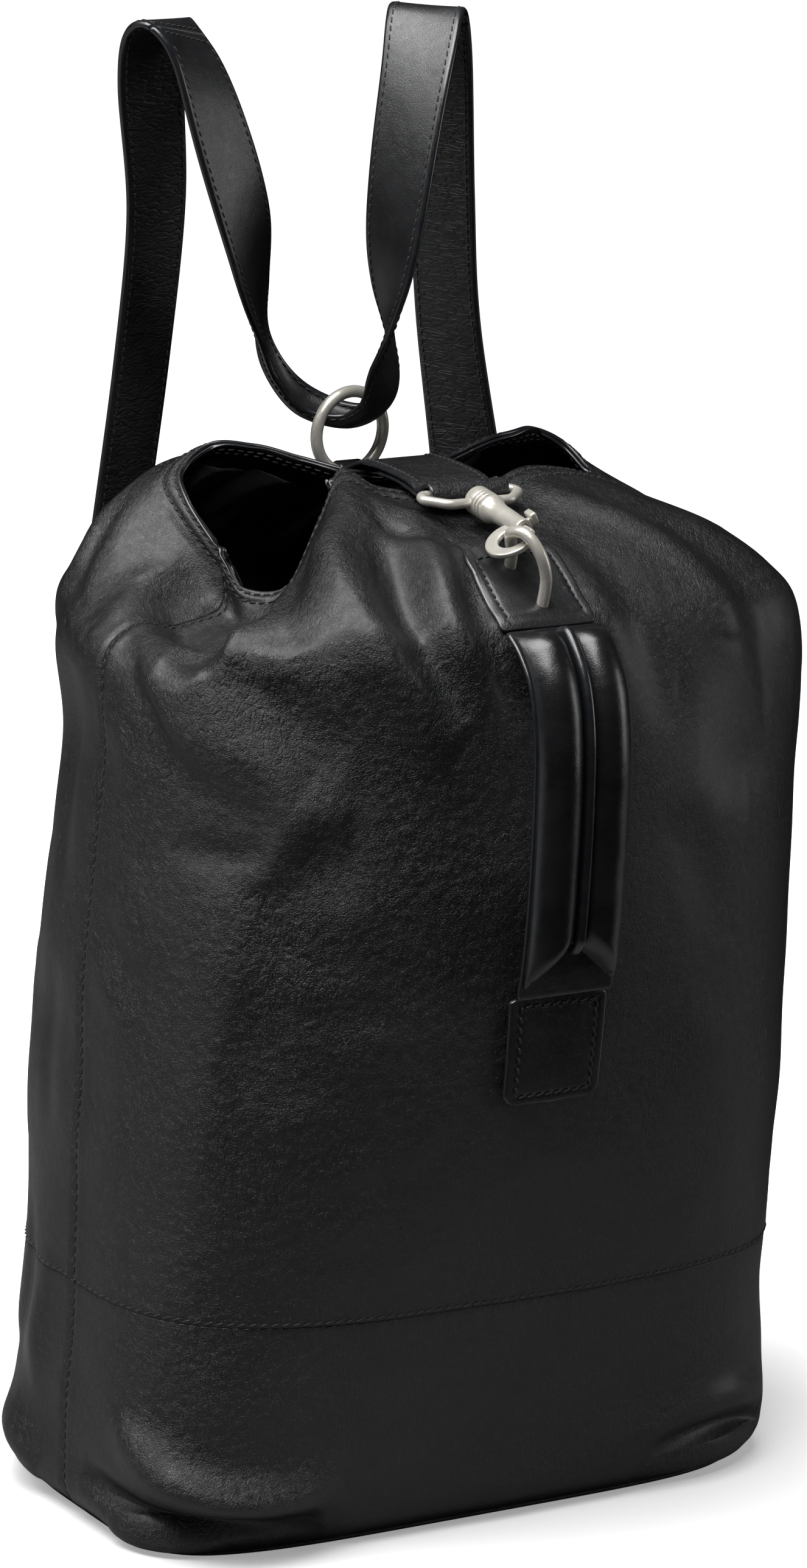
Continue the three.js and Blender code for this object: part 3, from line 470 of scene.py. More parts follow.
def place_camera():
    a, p, roll = CAMERA_AZIMUTH, CAMERA_ELEVATION, CAMERA_ROLL
    back = Vector((math.sin(a) * math.cos(p), -math.cos(a) * math.cos(p), math.sin(p)))
    level = Vector((math.cos(a), math.sin(a), 0))
    above = back.cross(level)
    right = level * math.cos(roll) + above * math.sin(roll)
    up = -level * math.sin(roll) + above * math.cos(roll)
    target = Vector(CAMERA_AIM) + right * CAMERA_MOVE[0] + up * CAMERA_MOVE[1]
    place = (target + back * CAMERA_DISTANCE) * MM
    data = bpy.data.cameras.new("camera")
    data.sensor_fit = "VERTICAL"
    data.sensor_height = SENSOR
    data.lens = LENS
    data.clip_end = 60
    camera = bpy.data.objects.new("camera", data)
    camera.matrix_world = Matrix(
        (
            (right.x, up.x, back.x, place.x),
            (right.y, up.y, back.y, place.y),
            (right.z, up.z, back.z, place.z),
            (0, 0, 0, 1),
        )
    )
    bpy.context.scene.collection.objects.link(camera)
    bpy.context.scene.camera = camera


place_camera()


# ---------------------------------------------------------------- node materials
class Nodes:
    """A short way to write a node tree."""

    def __init__(self, name):
        self.material = bpy.data.materials.new(name)
        self.material.use_nodes = True
        self.tree = self.material.node_tree
        self.shader = self.tree.nodes["Principled BSDF"]
        self.place = self.new("ShaderNodeTexCoord").outputs["Object"]

    def new(self, kind, **settings):
        node = self.tree.nodes.new(kind)
        for key, value in settings.items():
            setattr(node, key, value)
        return node

    def link(self, source, target):
        self.tree.links.new(source, target)

    def scaled(self, scale, turn=(0, 0, 0), source=None):
        node = self.new("ShaderNodeMapping")
        node.inputs["Scale"].default_value = scale
        node.inputs["Rotation"].default_value = turn
        self.link(source or self.place, node.inputs["Vector"])
        return node.outputs["Vector"]

    def noise(self, scale, detail=4.0, rough=0.55, source=None, warp=0.0):
        node = self.new("ShaderNodeTexNoise")
        node.inputs["Scale"].default_value = scale
        node.inputs["Detail"].default_value = detail
        node.inputs["Roughness"].default_value = rough
        node.inputs["Distortion"].default_value = warp
        self.link(source or self.place, node.inputs["Vector"])
        return node.outputs["Fac"]

    def noise_vector(self, scale, source=None):
        node = self.new("ShaderNodeTexNoise")
        node.inputs["Scale"].default_value = scale
        node.inputs["Detail"].default_value = 2.0
        self.link(source or self.place, node.inputs["Vector"])
        return node.outputs["Color"]

    def cells(self, scale, feature="DISTANCE_TO_EDGE", source=None, smooth=0.0):
        node = self.new("ShaderNodeTexVoronoi", feature=feature)
        node.inputs["Scale"].default_value = scale
        if "Smoothness" in node.inputs:
            node.inputs["Smoothness"].default_value = smooth
        self.link(source or self.place, node.inputs["Vector"])
        return node.outputs["Distance"]

    def ramp(self, source, low, high, to_low=0.0, to_high=1.0):
        node = self.new("ShaderNodeMapRange", interpolation_type="SMOOTHSTEP")
        self.link(source, node.inputs["Value"])
        node.inputs["From Min"].default_value = low
        node.inputs["From Max"].default_value = high
        node.inputs["To Min"].default_value = to_low
        node.inputs["To Max"].default_value = to_high
        return node.outputs["Result"]

    def math(self, operation, a, b):
        node = self.new("ShaderNodeMath", operation=operation)
        for socket, value in zip(node.inputs, (a, b)):
            if isinstance(value, (int, float)):
                socket.default_value = value
            else:
                self.link(value, socket)
        return node.outputs["Value"]

    def warped(self, source, amount, scale):
        """The source moved about by slow noise, so that a pattern loses its regularity."""
        shift = self.new("ShaderNodeVectorMath", operation="MULTIPLY_ADD")
        self.link(self.noise_vector(scale, source), shift.inputs[0])
        shift.inputs[1].default_value = (amount, amount, amount)
        self.link(source, shift.inputs[2])
        return shift.outputs["Vector"]

    def colour(self, factor, dark, light):
        node = self.new("ShaderNodeMix", data_type="RGBA")
        self.link(factor, node.inputs["Factor"])
        node.inputs["A"].default_value = (*dark, 1)
        node.inputs["B"].default_value = (*light, 1)
        self.link(node.outputs["Result"], self.shader.inputs["Base Color"])

    def bump(self, *layers):
        """Each layer is a height and how many metres high it stands."""
        normal = None
        for height, distance in layers:
            node = self.new("ShaderNodeBump")
            node.inputs["Strength"].default_value = 1.0
            node.inputs["Distance"].default_value = distance
            self.link(height, node.inputs["Height"])
            if normal is not None:
                self.link(normal, node.inputs["Normal"])
            normal = node.outputs["Normal"]
        self.link(normal, self.shader.inputs["Normal"])

    def set(self, **values):
        for key, value in values.items():
            self.shader.inputs[key.replace("_", " ")].default_value = value


def body_leather():
    n = Nodes("body_leather")
    n.set(**{"Specular IOR Level": 0.62, "Coat Weight": 0.25, "Coat Roughness": 0.28})
    worn = n.noise(9.0, 3.0)
    n.colour(n.ramp(n.noise(60.0, 5.0), 0.3, 0.75), (0.003, 0.0032, 0.0038), (0.0062, 0.0065, 0.0074))
    rough = n.ramp(n.noise(22.0, 6.0, 0.6), 0.25, 0.75, 0.3, 0.46)
    n.link(n.math("ADD", rough, n.ramp(worn, 0.35, 0.7, 0.0, 0.07)), n.shader.inputs["Roughness"])
    # Long fine creases run mostly down the panels, in patches.
    tall = n.scaled((1.0, 1.0, 0.42))
    bent = n.warped(tall, 0.012, 55.0)
    crease = n.ramp(n.cells(330.0, source=bent), 0.0, 0.2, 0.0, 1.0)
    small = n.ramp(n.cells(1000.0, source=n.warped(n.place, 0.003, 220.0)), 0.0, 0.25, 0.0, 1.0)
    patches = n.ramp(n.noise(14.0, 3.0), 0.38, 0.64)
    lines = n.math("MULTIPLY", n.math("SUBTRACT", crease, 1.0), patches)
    grain = n.noise(1500.0, 2.0)
    n.bump(
        (n.noise(38.0, 3.0, warp=0.6), 0.0009),
        (n.noise(210.0, 9.0, 0.66, warp=0.8), 0.0009),
        (lines, 0.00018),
        (small, 0.0001),
        (grain, 0.00012),
    )
    return n.material


def strap_leather(name="strap_leather", gloss=0.34, crackle=0.00004, shine=0.6, coat=0.3, tone=0.014):
    n = Nodes(name)
    n.set(**{"Specular IOR Level": shine, "Coat Weight": coat, "Coat Roughness": 0.25})
    light = (tone, tone * 1.03, tone * 1.12)
    n.colour(n.ramp(n.noise(90.0, 4.0), 0.3, 0.7), tuple(0.6 * c for c in light), light)
    n.link(n.ramp(n.noise(35.0, 5.0), 0.3, 0.75, gloss, gloss + 0.12), n.shader.inputs["Roughness"])
    fine = n.ramp(n.cells(900.0, source=n.warped(n.place, 0.003, 200.0)), 0.0, 0.2)
    n.bump((n.noise(70.0, 2.0), 0.0005), (fine, crackle), (n.noise(1800.0, 2.0), 0.00004))
    return n.material


def strap_back():
    """The inner face of the strap: duller, with creases across its length."""
    n = Nodes("strap_back")
    n.set(**{"Specular IOR Level": 0.5})
    n.colour(n.ramp(n.noise(120.0, 4.0), 0.3, 0.7), (0.009, 0.0093, 0.0104), (0.017, 0.0175, 0.019))
    n.link(n.ramp(n.noise(45.0, 5.0), 0.3, 0.75, 0.42, 0.58), n.shader.inputs["Roughness"])
    flat = n.warped(n.scaled((0.5, 0.5, 1.5)), 0.01, 90.0)
    wrinkle = n.ramp(n.cells(330.0, source=flat), 0.0, 0.2)
    n.bump((wrinkle, 0.00022), (n.noise(1500.0, 3.0), 0.00008))
    return n.material


def edge_paint():
    n = Nodes("edge_paint")
    n.set(**{"Specular IOR Level": 0.6, "Coat Weight": 0.4, "Coat Roughness": 0.15})
    n.colour(n.noise(200.0, 3.0), (0.008, 0.0085, 0.0105), (0.016, 0.017, 0.02))
    n.link(n.ramp(n.noise(150.0, 3.0), 0.3, 0.7, 0.22, 0.36), n.shader.inputs["Roughness"])
    n.bump((n.noise(500.0, 3.0), 0.00008))
    return n.material


def lining_cloth():
    n = Nodes("lining_cloth")
    n.set(**{"Specular IOR Level": 0.3, "Sheen Weight": 0.25, "Sheen Roughness": 0.5})
    n.colour(n.noise(400.0, 3.0), (0.006, 0.0063, 0.007), (0.013, 0.0135, 0.0145))
    n.link(n.ramp(n.noise(80.0, 3.0), 0.3, 0.7, 0.78, 0.92), n.shader.inputs["Roughness"])
    twill = n.new("ShaderNodeTexWave", bands_direction="DIAGONAL")
    twill.inputs["Scale"].default_value = 900.0
    twill.inputs["Distortion"].default_value = 1.5
    n.link(n.place, twill.inputs["Vector"])
    n.bump((n.noise(45.0, 3.0), 0.0022), (twill.outputs["Fac"], 0.00012))
    return n.material


def board_fibre():
    n = Nodes("board")
    n.colour(n.noise(300.0, 4.0), (0.02, 0.018, 0.016), (0.035, 0.032, 0.028))
    n.link(n.ramp(n.noise(120.0, 3.0), 0.3, 0.7, 0.75, 0.9), n.shader.inputs["Roughness"])
    n.bump((n.noise(900.0, 3.0), 0.0001))
    return n.material


def nickel():
    n = Nodes("nickel")
    n.set(Metallic=0.5)
    n.colour(n.noise(120.0, 4.0), (0.58, 0.55, 0.49), (0.76, 0.73, 0.66))
    n.link(n.ramp(n.noise(260.0, 5.0), 0.25, 0.8, 0.26, 0.38), n.shader.inputs["Roughness"])
    n.bump((n.noise(420.0, 3.0), 0.00006), (n.noise(3200.0, 2.0), 0.000015))
    return n.material


def thread():
    n = Nodes("thread")
    n.set(**{"Specular IOR Level": 0.35, "Sheen Weight": 0.15})
    n.colour(n.noise(700.0, 2.0), (0.008, 0.0083, 0.009), (0.022, 0.0225, 0.024))
    n.link(n.ramp(n.noise(900.0, 2.0), 0.3, 0.7, 0.36, 0.52), n.shader.inputs["Roughness"])
    n.bump((n.noise(2600.0, 2.0), 0.00008))
    return n.material


LEATHER_MAT = body_leather()
STRAP_MAT = strap_leather()
HANDLE_MAT = strap_leather("handle_leather", 0.24, 0.00002, tone=0.01)
FACING_MAT = strap_leather("facing_leather", 0.55, 0.00004, shine=0.12, coat=0.0, tone=0.008)
BACK_MAT = strap_back()
EDGE_MAT = edge_paint()
LINING_MAT = lining_cloth()
BOARD_MAT = board_fibre()
NICKEL_MAT = nickel()
THREAD_MAT = thread()


# ---------------------------------------------------------------- mesh helpers
def add_piece(name, verts, faces, materials, nodes=(), body="bag", face_materials=None):
    """A smooth mesh object from points in millimetres."""
    mesh = bpy.data.meshes.new(name)
    mesh.from_pydata((np.asarray(verts, float) * MM).tolist(), [], [list(f) for f in faces])
    if isinstance(materials, bpy.types.Material):
        materials = [materials]
    for material in materials:
        mesh.materials.append(material)
    if face_materials is not None:
        mesh.polygons.foreach_set("material_index", np.asarray(face_materials, np.int32))
    mesh.validate()
    work = bmesh.new()
    work.from_mesh(mesh)
    bmesh.ops.recalc_face_normals(work, faces=work.faces)
    work.to_mesh(mesh)
    work.free()
    mesh.shade_smooth()
    piece = bpy.data.objects.new(name, mesh)
    bpy.context.scene.collection.objects.link(piece)
    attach(piece, body)
    if nodes:
        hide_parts(*nodes)
    return piece


def unit(v):
    v = np.asarray(v, float)
    return v / np.maximum(np.linalg.norm(v, axis=-1, keepdims=True), 1e-9)


def shell(outer, inner, rounded=(True, True, True, True), steps=3):
    """A closed sheet between two grids of points (rows, columns, 3).

    `rounded` says which edges are rolled: first row, last column, last row, first column.
    Returns points, faces and, per face, 0 outside, 1 inside, 2 edge.
    """
    rows, cols = outer.shape[:2]
    verts = [outer.reshape(-1, 3), inner.reshape(-1, 3)]
    size = rows * cols
    faces = []
    kinds = []
    for i in range(rows - 1):
        for j in range(cols - 1):
            a = i * cols + j
            faces.append((a, a + 1, a + cols + 1, a + cols))
            kinds.append(0)
            faces.append((size + a, size + a + cols, size + a + cols + 1, size + a + 1))
            kinds.append(1)
    border = [(0, j) for j in range(cols)]
    border += [(i, cols - 1) for i in range(1, rows)]
    border += [(rows - 1, j) for j in range(cols - 2, -1, -1)]
    border += [(i, 0) for i in range(rows - 2, 0, -1)]
    middle = (outer + inner) / 2
    rims = []
    for i, j in border:
        di = -1 if i == 0 else (1 if i == rows - 1 else 0)
        dj = -1 if j == 0 else (1 if j == cols - 1 else 0)
        if di == -1 and not rounded[0] or di == 1 and not rounded[2]:
            di = 0
        if dj == 1 and not rounded[1] or dj == -1 and not rounded[3]:
            dj = 0
        half = (outer[i, j] - inner[i, j]) / 2
        if di or dj:
            away = unit(middle[i, j] - middle[i - di, j - dj])
        else:
            away = np.zeros(3)
        thick = np.linalg.norm(half)
        line = []
        for k in range(1, steps + 1):
            angle = math.pi * k / (steps + 1)
            line.append(middle[i, j] + half * math.cos(angle) + away * thick * math.sin(angle))
        rims.append(line)
    rims = np.array(rims)
    verts.append(rims.reshape(-1, 3))
    count = len(border)
    for e in range(count):
        f = (e + 1) % count
        first = [border[e][0] * cols + border[e][1]]
        second = [border[f][0] * cols + border[f][1]]
        for k in range(steps):
            first.append(2 * size + e * steps + k)
            second.append(2 * size + f * steps + k)
        first.append(size + border[e][0] * cols + border[e][1])
        second.append(size + border[f][0] * cols + border[f][1])
        for k in range(steps + 1):
            faces.append((first[k], first[k + 1], second[k + 1], second[k]))
            kinds.append(2)
    return np.concatenate(verts), faces, kinds


def tube_mesh(points, radius, sides=20, closed=False, flatten=None):
    """A round bar along a line of points, with domed ends when it is open."""
    points = np.asarray(points, float)
    count = len(points)
    if closed:
        tangent = unit(np.roll(points, -1, 0) - np.roll(points, 1, 0))
    else:
        tangent = unit(np.gradient(points, axis=0))
    normal = np.cross(tangent[0], (0.13, 0.31, 0.94))
    rings = []
    frames = []
    for i in range(count):
        normal = unit(normal - tangent[i] * np.dot(normal, tangent[i]))
        frames.append((normal.copy(), np.cross(tangent[i], normal)))
    radii = np.broadcast_to(np.asarray(radius, float), (count,))
    angle = np.arange(sides) * 2 * math.pi / sides
    for i in range(count):
        n, b = frames[i]
        ring = points[i] + radii[i] * (np.cos(angle)[:, None] * n + np.sin(angle)[:, None] * b)
        rings.append(ring)
    if not closed:
        caps = []
        for end, sign in ((0, -1), (count - 1, 1)):
            n, b = frames[end]
            dome = []
            for k in (1, 2):
                lean = k * math.pi / 6
                r = radii[end] * math.cos(lean)
                shift = sign * tangent[end] * radii[end] * 0.5 * math.sin(lean)
                dome.append(
                    points[end] + shift + r * (np.cos(angle)[:, None] * n + np.sin(angle)[:, None] * b)
                )
            caps.append(dome)
        rings = caps[0][::-1] + rings + caps[1]
    verts = np.concatenate(rings)
    faces = []
    total = len(rings)
    for i in range(total if closed else total - 1):
        for j in range(sides):
            k = (j + 1) % sides
            a, b = i * sides, ((i + 1) % total) * sides
            faces.append((a + j, a + k, b + k, b + j))
    if not closed:
        faces.append(tuple(range(sides - 1, -1, -1)))
        faces.append(tuple((total - 1) * sides + j for j in range(sides)))
    return verts, faces


def lathe_mesh(profile, sides=48):
    """A turned shape round local X from (along, radius) pairs; ends with radius 0 are closed."""
    rings = []
    angle = np.arange(sides) * 2 * math.pi / sides
    for along, radius in profile:
        rings.append(
            np.stack([np.full(sides, along), radius * np.cos(angle), radius * np.sin(angle)], 1)
        )
    verts = np.concatenate(rings)
    faces = []
    for i in range(len(profile) - 1):
        for j in range(sides):
            k = (j + 1) % sides
            faces.append((i * sides + j, i * sides + k, (i + 1) * sides + k, (i + 1) * sides + j))
    faces.append(tuple(range(sides)))
    faces.append(tuple((len(profile) - 1) * sides + j for j in range(sides - 1, -1, -1)))
    return verts, faces


def joined(parts):
    verts = []
    faces = []
    start = 0
    for v, f in parts:
        verts.append(np.asarray(v))
        faces += [tuple(start + i for i in face) for face in f]
        start += len(v)
    return np.concatenate(verts), faces


def even(points, pitch):
    """The line cut again into steps of about `pitch` mm."""
    points = np.asarray(points, float)
    length = np.concatenate([[0], np.cumsum(np.linalg.norm(np.diff(points, axis=0), axis=1))])
    count = max(2, int(round(length[-1] / pitch)) + 1)
    wanted = np.linspace(0, length[-1], count)
    return np.stack([np.interp(wanted, length, points[:, k]) for k in range(3)], 1)


STITCHES = []


def stitch(line, normals, pitch=STITCH_PITCH, length=STITCH_LENGTH, radius=THREAD, slant=0.12):
    """A row of single stitches lying on a surface, kept until the end and joined in one piece."""
    line = np.asarray(line, float)
    normals = np.broadcast_to(np.asarray(normals, float), line.shape)
    along = np.concatenate([[0], np.cumsum(np.linalg.norm(np.diff(line, axis=0), axis=1))])
    count = int(along[-1] / pitch)
    if count < 1:
        return
    start = (along[-1] - count * pitch) / 2

    def at(table, where):
        return np.array([np.interp(where, along, table[:, k]) for k in range(3)])

    angle = np.arange(7) * 2 * math.pi / 7
    for i in range(count):
        centre = start + (i + 0.5) * pitch
        a = at(line, centre - length / 2)
        b = at(line, centre + length / 2)
        up = unit(at(normals, centre))
        forward = unit(b - a)
        side = unit(np.cross(up, forward))
        a = a - side * slant * radius * 3
        b = b + side * slant * radius * 3
        rings = []
        for t, r, lift in (
            (0.0, 0.35, -0.9), (0.1, 0.85, -0.1), (0.3, 1.0, 0.25),
            (0.7, 1.0, 0.25), (0.9, 0.85, -0.1), (1.0, 0.35, -0.9),
        ):
            p = a * (1 - t) + b * t + up * lift * radius
            rings.append(p + radius * r * (np.cos(angle)[:, None] * side + np.sin(angle)[:, None] * up))
        faces = []
        for k in range(len(rings) - 1):
            for j in range(7):
                m = (j + 1) % 7
                faces.append((k * 7 + j, k * 7 + m, (k + 1) * 7 + m, (k + 1) * 7 + j))
        faces.append(tuple(range(6, -1, -1)))
        faces.append(tuple(35 + j for j in range(7)))
        STITCHES.append((np.concatenate(rings), faces))


# ---------------------------------------------------------------- body panels
SIDE_GAP = 0.0004  # radians left free on each side of a side seam
SEAM_GAP = 0.001  # ring coordinate left free on each side of the lower seam
FACING_RING = 10.0
FACING_GAP = 0.15
FACING_PLY = 1.5
COLUMNS = 300
halves = (("front", -math.pi, 0.0), ("rear", 0.0, math.pi))


def spread(count, edge=0.012, extra=9):
    """Values from 0 to 1 that lie closer together at both ends."""
    near = np.linspace(0, edge, extra)
    return np.unique(np.concatenate([near, np.linspace(edge, 1 - edge, count), 1 - near]).round(6))


def body_grid(phi0, phi1, rings, offset):
    phis = phi0 + SIDE_GAP + (phi1 - phi0 - 2 * SIDE_GAP) * spread(COLUMNS)
    p, r = np.meshgrid(phis, rings)
    points, _ = body_point(p, r, offset)
    return points


def rows_between(low, high, count, edge=0.02):
    return low + (high - low) * spread(count, edge, 6)


def body_panel(name, node, phi0, phi1, rings, outer, inner, rolled_top, materials):
    outside = body_grid(phi0, phi1, rings, outer)
    inside = body_grid(phi0, phi1, rings, inner)
    verts, faces, kinds = shell(outside, inside, (False, False, rolled_top, False))
    picked = None
    if len(materials) > 1:
        picked = [1 if k == 2 else 0 for k in kinds]
    return add_piece(name, verts, faces, materials, (node,), face_materials=picked)


band_rings = np.concatenate([rows_between(0.0, 1.0, 14), rows_between(1.0, BAND_TOP - SEAM_GAP, 34)[1:]])
panel_rings = np.concatenate(
    [rows_between(BAND_TOP + SEAM_GAP, 6.0, 70), np.linspace(6.0, RIM, 130)[1:]]
)
facing_rings = np.linspace(FACING_RING, RIM, 30)
for side, phi0, phi1 in halves:
    body_panel(
        f"{side}_band_leather", f"lower_{side}_band", phi0, phi1, band_rings, 0, -LEATHER, False, [LEATHER_MAT],
    )
    body_panel(
        f"{side}_panel_leather", f"{side}_panel", phi0, phi1, panel_rings, 0, -LEATHER, True,
        [LEATHER_MAT, EDGE_MAT],
    )
    deep = -LEATHER - FACING_GAP
    body_panel(
        f"{side}_facing_leather", f"{side}_mouth_facing", phi0, phi1, facing_rings, deep, deep - FACING_PLY,
        True, [FACING_MAT, EDGE_MAT],
    )


def base_sheet(name, node, inset, low, high, material):
    """A flat sheet with the outline of the body's lowest ring and a softly rounded edge."""
    phis = np.linspace(-math.pi, math.pi, 240, endpoint=False)
    outline, _ = body_point(phis, np.zeros_like(phis), -inset)
    flat = outline[:, :2]
    thick = (high - low) / 2
    rings = []
    for k in range(7):
        angle = math.pi * k / 6
        pull = thick * (1 - math.sin(angle))
        shrink = 1 - pull / 100
        z = (low + high) / 2 - thick * math.cos(angle)
        rings.append(np.column_stack([flat * shrink, np.full(len(flat), z)]))
    verts = [np.array([[0, 0, low]])]
    for share in (0.3, 0.65, 0.9):
        verts.append(np.column_stack([flat * share, np.full(len(flat), low)]))
    verts += rings
    for share in (0.9, 0.65, 0.3):
        verts.append(np.column_stack([flat * share, np.full(len(flat), high)]))
    levels = len(verts) - 1
    verts.append(np.array([[0, 0, high]]))
    count = len(flat)
    faces = []
    for j in range(count):
        faces.append((0, 1 + (j + 1) % count, 1 + j))
    for i in range(levels - 1):
        for j in range(count):
            a = 1 + i * count
            k = (j + 1) % count
            faces.append((a + j, a + k, a + count + k, a + count + j))
    top = 1 + (levels - 1) * count
    for j in range(count):
        faces.append((top + count, top + j, top + (j + 1) % count))
    add_piece(name, np.concatenate(verts), faces, material, (node,))


base_sheet("base_leather", "base_panel", 1.0, 0.0, 2.3, LEATHER_MAT)
base_sheet("base_stiffener", "base_board", 6.0, 2.6, 4.6, BOARD_MAT)


def lining_bag():
    """The cloth inside: an open cup with a floor, slack between the seams."""
    phis = np.linspace(-math.pi, math.pi, 320, endpoint=False)
    levels = np.linspace(0.5, FACING_RING + 0.12, 110)
    p, r = np.meshgrid(phis, levels)
    rng = np.random.default_rng(11)
    slack = np.zeros_like(p)
    s, t = leather_place(p, r)
    for _ in range(14):
        k = rng.integers(3, 17)
        slack += np.sin(k * p + rng.uniform(0, 6.28) + t / rng.uniform(30, 90)) * 0.5 / math.sqrt(14)
    fade = np.clip((t - 30) / 60, 0, 1) * np.clip((UP_MM[-2] - t) / 30, 0, 1)
    slack = (slack - 0.8) * 2.2 * fade
    outer, normal = body_point(p, r, -LINING_OFFSET - 0.4)
    outer = outer + normal * slack[..., None]
    inner = outer - normal * 0.6
    floor = outer[0].copy()
    floor[:, 2] = 5.2
    floor[:, :2] *= 0.985
    rows = [np.array([[0, 0, 5.2]])]
    rows += [np.column_stack([floor[:, :2] * f, np.full(len(floor), 5.2)]) for f in (0.35, 0.7)]
    rows.append(floor)
    rows += list(outer)
    rows += list(inner[::-1])
    inner_floor = floor.copy()
    inner_floor[:, :2] *= 0.99
    inner_floor[:, 2] = 5.8
    rows.append(inner_floor)
    rows += [np.column_stack([inner_floor[:, :2] * f, np.full(len(floor), 5.8)]) for f in (0.7, 0.35)]
    rows.append(np.array([[0, 0, 5.8]]))
    verts = np.concatenate(rows)
    starts = np.cumsum([0] + [len(row) for row in rows])
    count = len(phis)
    faces = []
    for i in range(len(rows) - 1):
        for j in range(count):
            k = (j + 1) % count
            a, b = starts[i], starts[i + 1]
            if len(rows[i]) == 1:
                faces.append((a, b + k, b + j))
            elif len(rows[i + 1]) == 1:
                faces.append((a + j, a + k, b))
            else:
                faces.append((a + j, a + k, b + k, b + j))
    piece = add_piece("lining_bag", verts, faces, LINING_MAT, ("lining",))


lining_bag()


def body_line(phis, rings, offset):
    return body_point(np.asarray(phis, float), np.asarray(rings, float), offset)


def ring_at(up):
    return np.interp(up, UP_MM, np.arange(RING_COUNT))


# Stitching of the body: the mouth has two rows, each seam has one.
around = np.linspace(-math.pi, math.pi, 1400)
for depth in MOUTH_ROWS:
    line, normal = body_line(around, np.full(1400, ring_at(UP_MM[-1] - depth)), 0.15)
    stitch(line, normal, radius=0.5)
    line, normal = body_line(around, np.full(1400, ring_at(UP_MM[-1] - depth)), -LEATHER - FACING_GAP - FACING_PLY - 0.05)
    stitch(line, -normal)
line, normal = body_line(around, np.full(1400, ring_at(UP_MM[3] + 2.2)), 0.05)
stitch(line, normal, pitch=4.8, length=3.9, radius=0.5, slant=0.45)
climb = np.linspace(0.6, ring_at(UP_MM[-1] - 14), 500)
for seam in (-math.pi, 0.0):
    line, normal = body_line(np.full(500, seam + 0.016), climb, 0.05)
    stitch(line, normal, pitch=4.8, length=3.8, radius=0.48, slant=0.3)


# ---------------------------------------------------------------- shoulder strap
# Each point of the strap's middle line, the direction of its width (degrees in plan, then upwards)
# and its width where it is bunched.
STRAP_ROUTE = [
    ((-104, 92.4, 26), 12, 0, 35), ((-104, 97.0, 62), 14, 0, 35), ((-104, 101.6, 110), 16, 0, 35),
    ((-104, 112.8, 200), 18, 0, 35), ((-104, 112.4, 280), 18, 0, 35), ((-102, 109, 345), 17, 0, 35),
    ((-95, 105, 420), 17, 0, 35), ((-90, 98, 499), 17, 0, 35), ((-91, 88, 568), 17, -4, 35),
    ((-103, 75, 628), 15, -20, 35), ((-105, 62, 653), 14, -32, 35), ((-96, 50, 638), 14, -26, 35),
    ((-84, 42, 600), 14, -8, 35), ((-70, 44, 562), 26, -2, 35), ((-54, 61, 526), 54, 8, 34),
    ((-39, 79, 497), 74, 28, 29), ((-20, 81, 475), 68, 26, 22), ((0, 67, 468), 42, 0, 19),
    ((9, 53, 479), 22, -6, 23), ((4, 42, 504), 44, -8, 29), ((-2, 34, 532), 80, -4, 34),
    ((-4, 30, 562), 103, 0, 35), ((0, 31, 598), 111, 0, 35), ((10, 39, 634), 116, 2, 35),
    ((23, 54, 655), 124, 3, 35), ((38, 69, 634), 122, 2, 35), ((54, 85, 568), 113, 0, 35),
    ((68, 97, 505), 112, 0, 35), ((88, 105, 425), 128, 0, 35), ((102, 109, 345), 155, 0, 35),
    ((104, 112.4, 280), 162, 0, 35), ((104, 112.8, 200), 162, 0, 35), ((104, 101.6, 110), 164, 0, 35),
    ((104, 97.0, 62), 166, 0, 35), ((104, 92.4, 26), 168, 0, 35),
]
STRAP_AT = np.array([entry[0] for entry in STRAP_ROUTE], float)
STRAP_TURN = np.array([entry[1] for entry in STRAP_ROUTE], float)
STRAP_RISE = np.array([entry[2] for entry in STRAP_ROUTE], float)
STRAP_WIDE = np.array([entry[3] for entry in STRAP_ROUTE], float)
STRAP_LAST = len(STRAP_ROUTE) - 1
SPLICES = (10.5, 24.7)


def route_value(table, u):
    i = np.clip(np.floor(u).astype(int), 0, STRAP_LAST - 1)
    t = (u - i)
    if table.ndim == 2:
        t = t[..., None]
    return hermite(
        table[np.clip(i - 1, 0, STRAP_LAST)],
        table[i],
        table[i + 1],
        table[np.clip(i + 2, 0, STRAP_LAST)],
        t,
    )


def strap_tangent(u):
    ahead = route_value(STRAP_AT, np.minimum(u + 0.02, STRAP_LAST))
    behind = route_value(STRAP_AT, np.maximum(u - 0.02, 0))
    return unit(ahead - behind)


def softened(table, reach):
    """A running average of rows, weighted towards the middle."""
    weights = np.hanning(2 * reach + 3)[1:-1]
    weights /= weights.sum()
    padded = np.pad(table, ((reach, reach), (0, 0)), mode="edge")
    return np.stack([np.convolve(padded[:, k], weights, "valid") for k in range(table.shape[1])], 1)


STRAP_GRID = np.linspace(0, STRAP_LAST, STRAP_LAST * 20 + 1)


def strap_across_table():
    """The direction of the strap's width, square to its line and turning without sudden changes."""
    turn = np.radians(route_value(STRAP_TURN, STRAP_GRID))
    rise = np.radians(route_value(STRAP_RISE, STRAP_GRID))
    across = np.stack([np.cos(turn) * np.cos(rise), np.sin(turn) * np.cos(rise), np.sin(rise)], 1)
    tangent = strap_tangent(STRAP_GRID)
    for _ in range(3):
        across = unit(across - tangent * np.sum(across * tangent, 1, keepdims=True))
        across = softened(across, 16)
    return across


STRAP_ACROSS = strap_across_table()
STRAP_WIDTHS = softened(np.minimum(route_value(STRAP_WIDE, STRAP_GRID), STRAP_WIDTH)[:, None], 16)[:, 0]


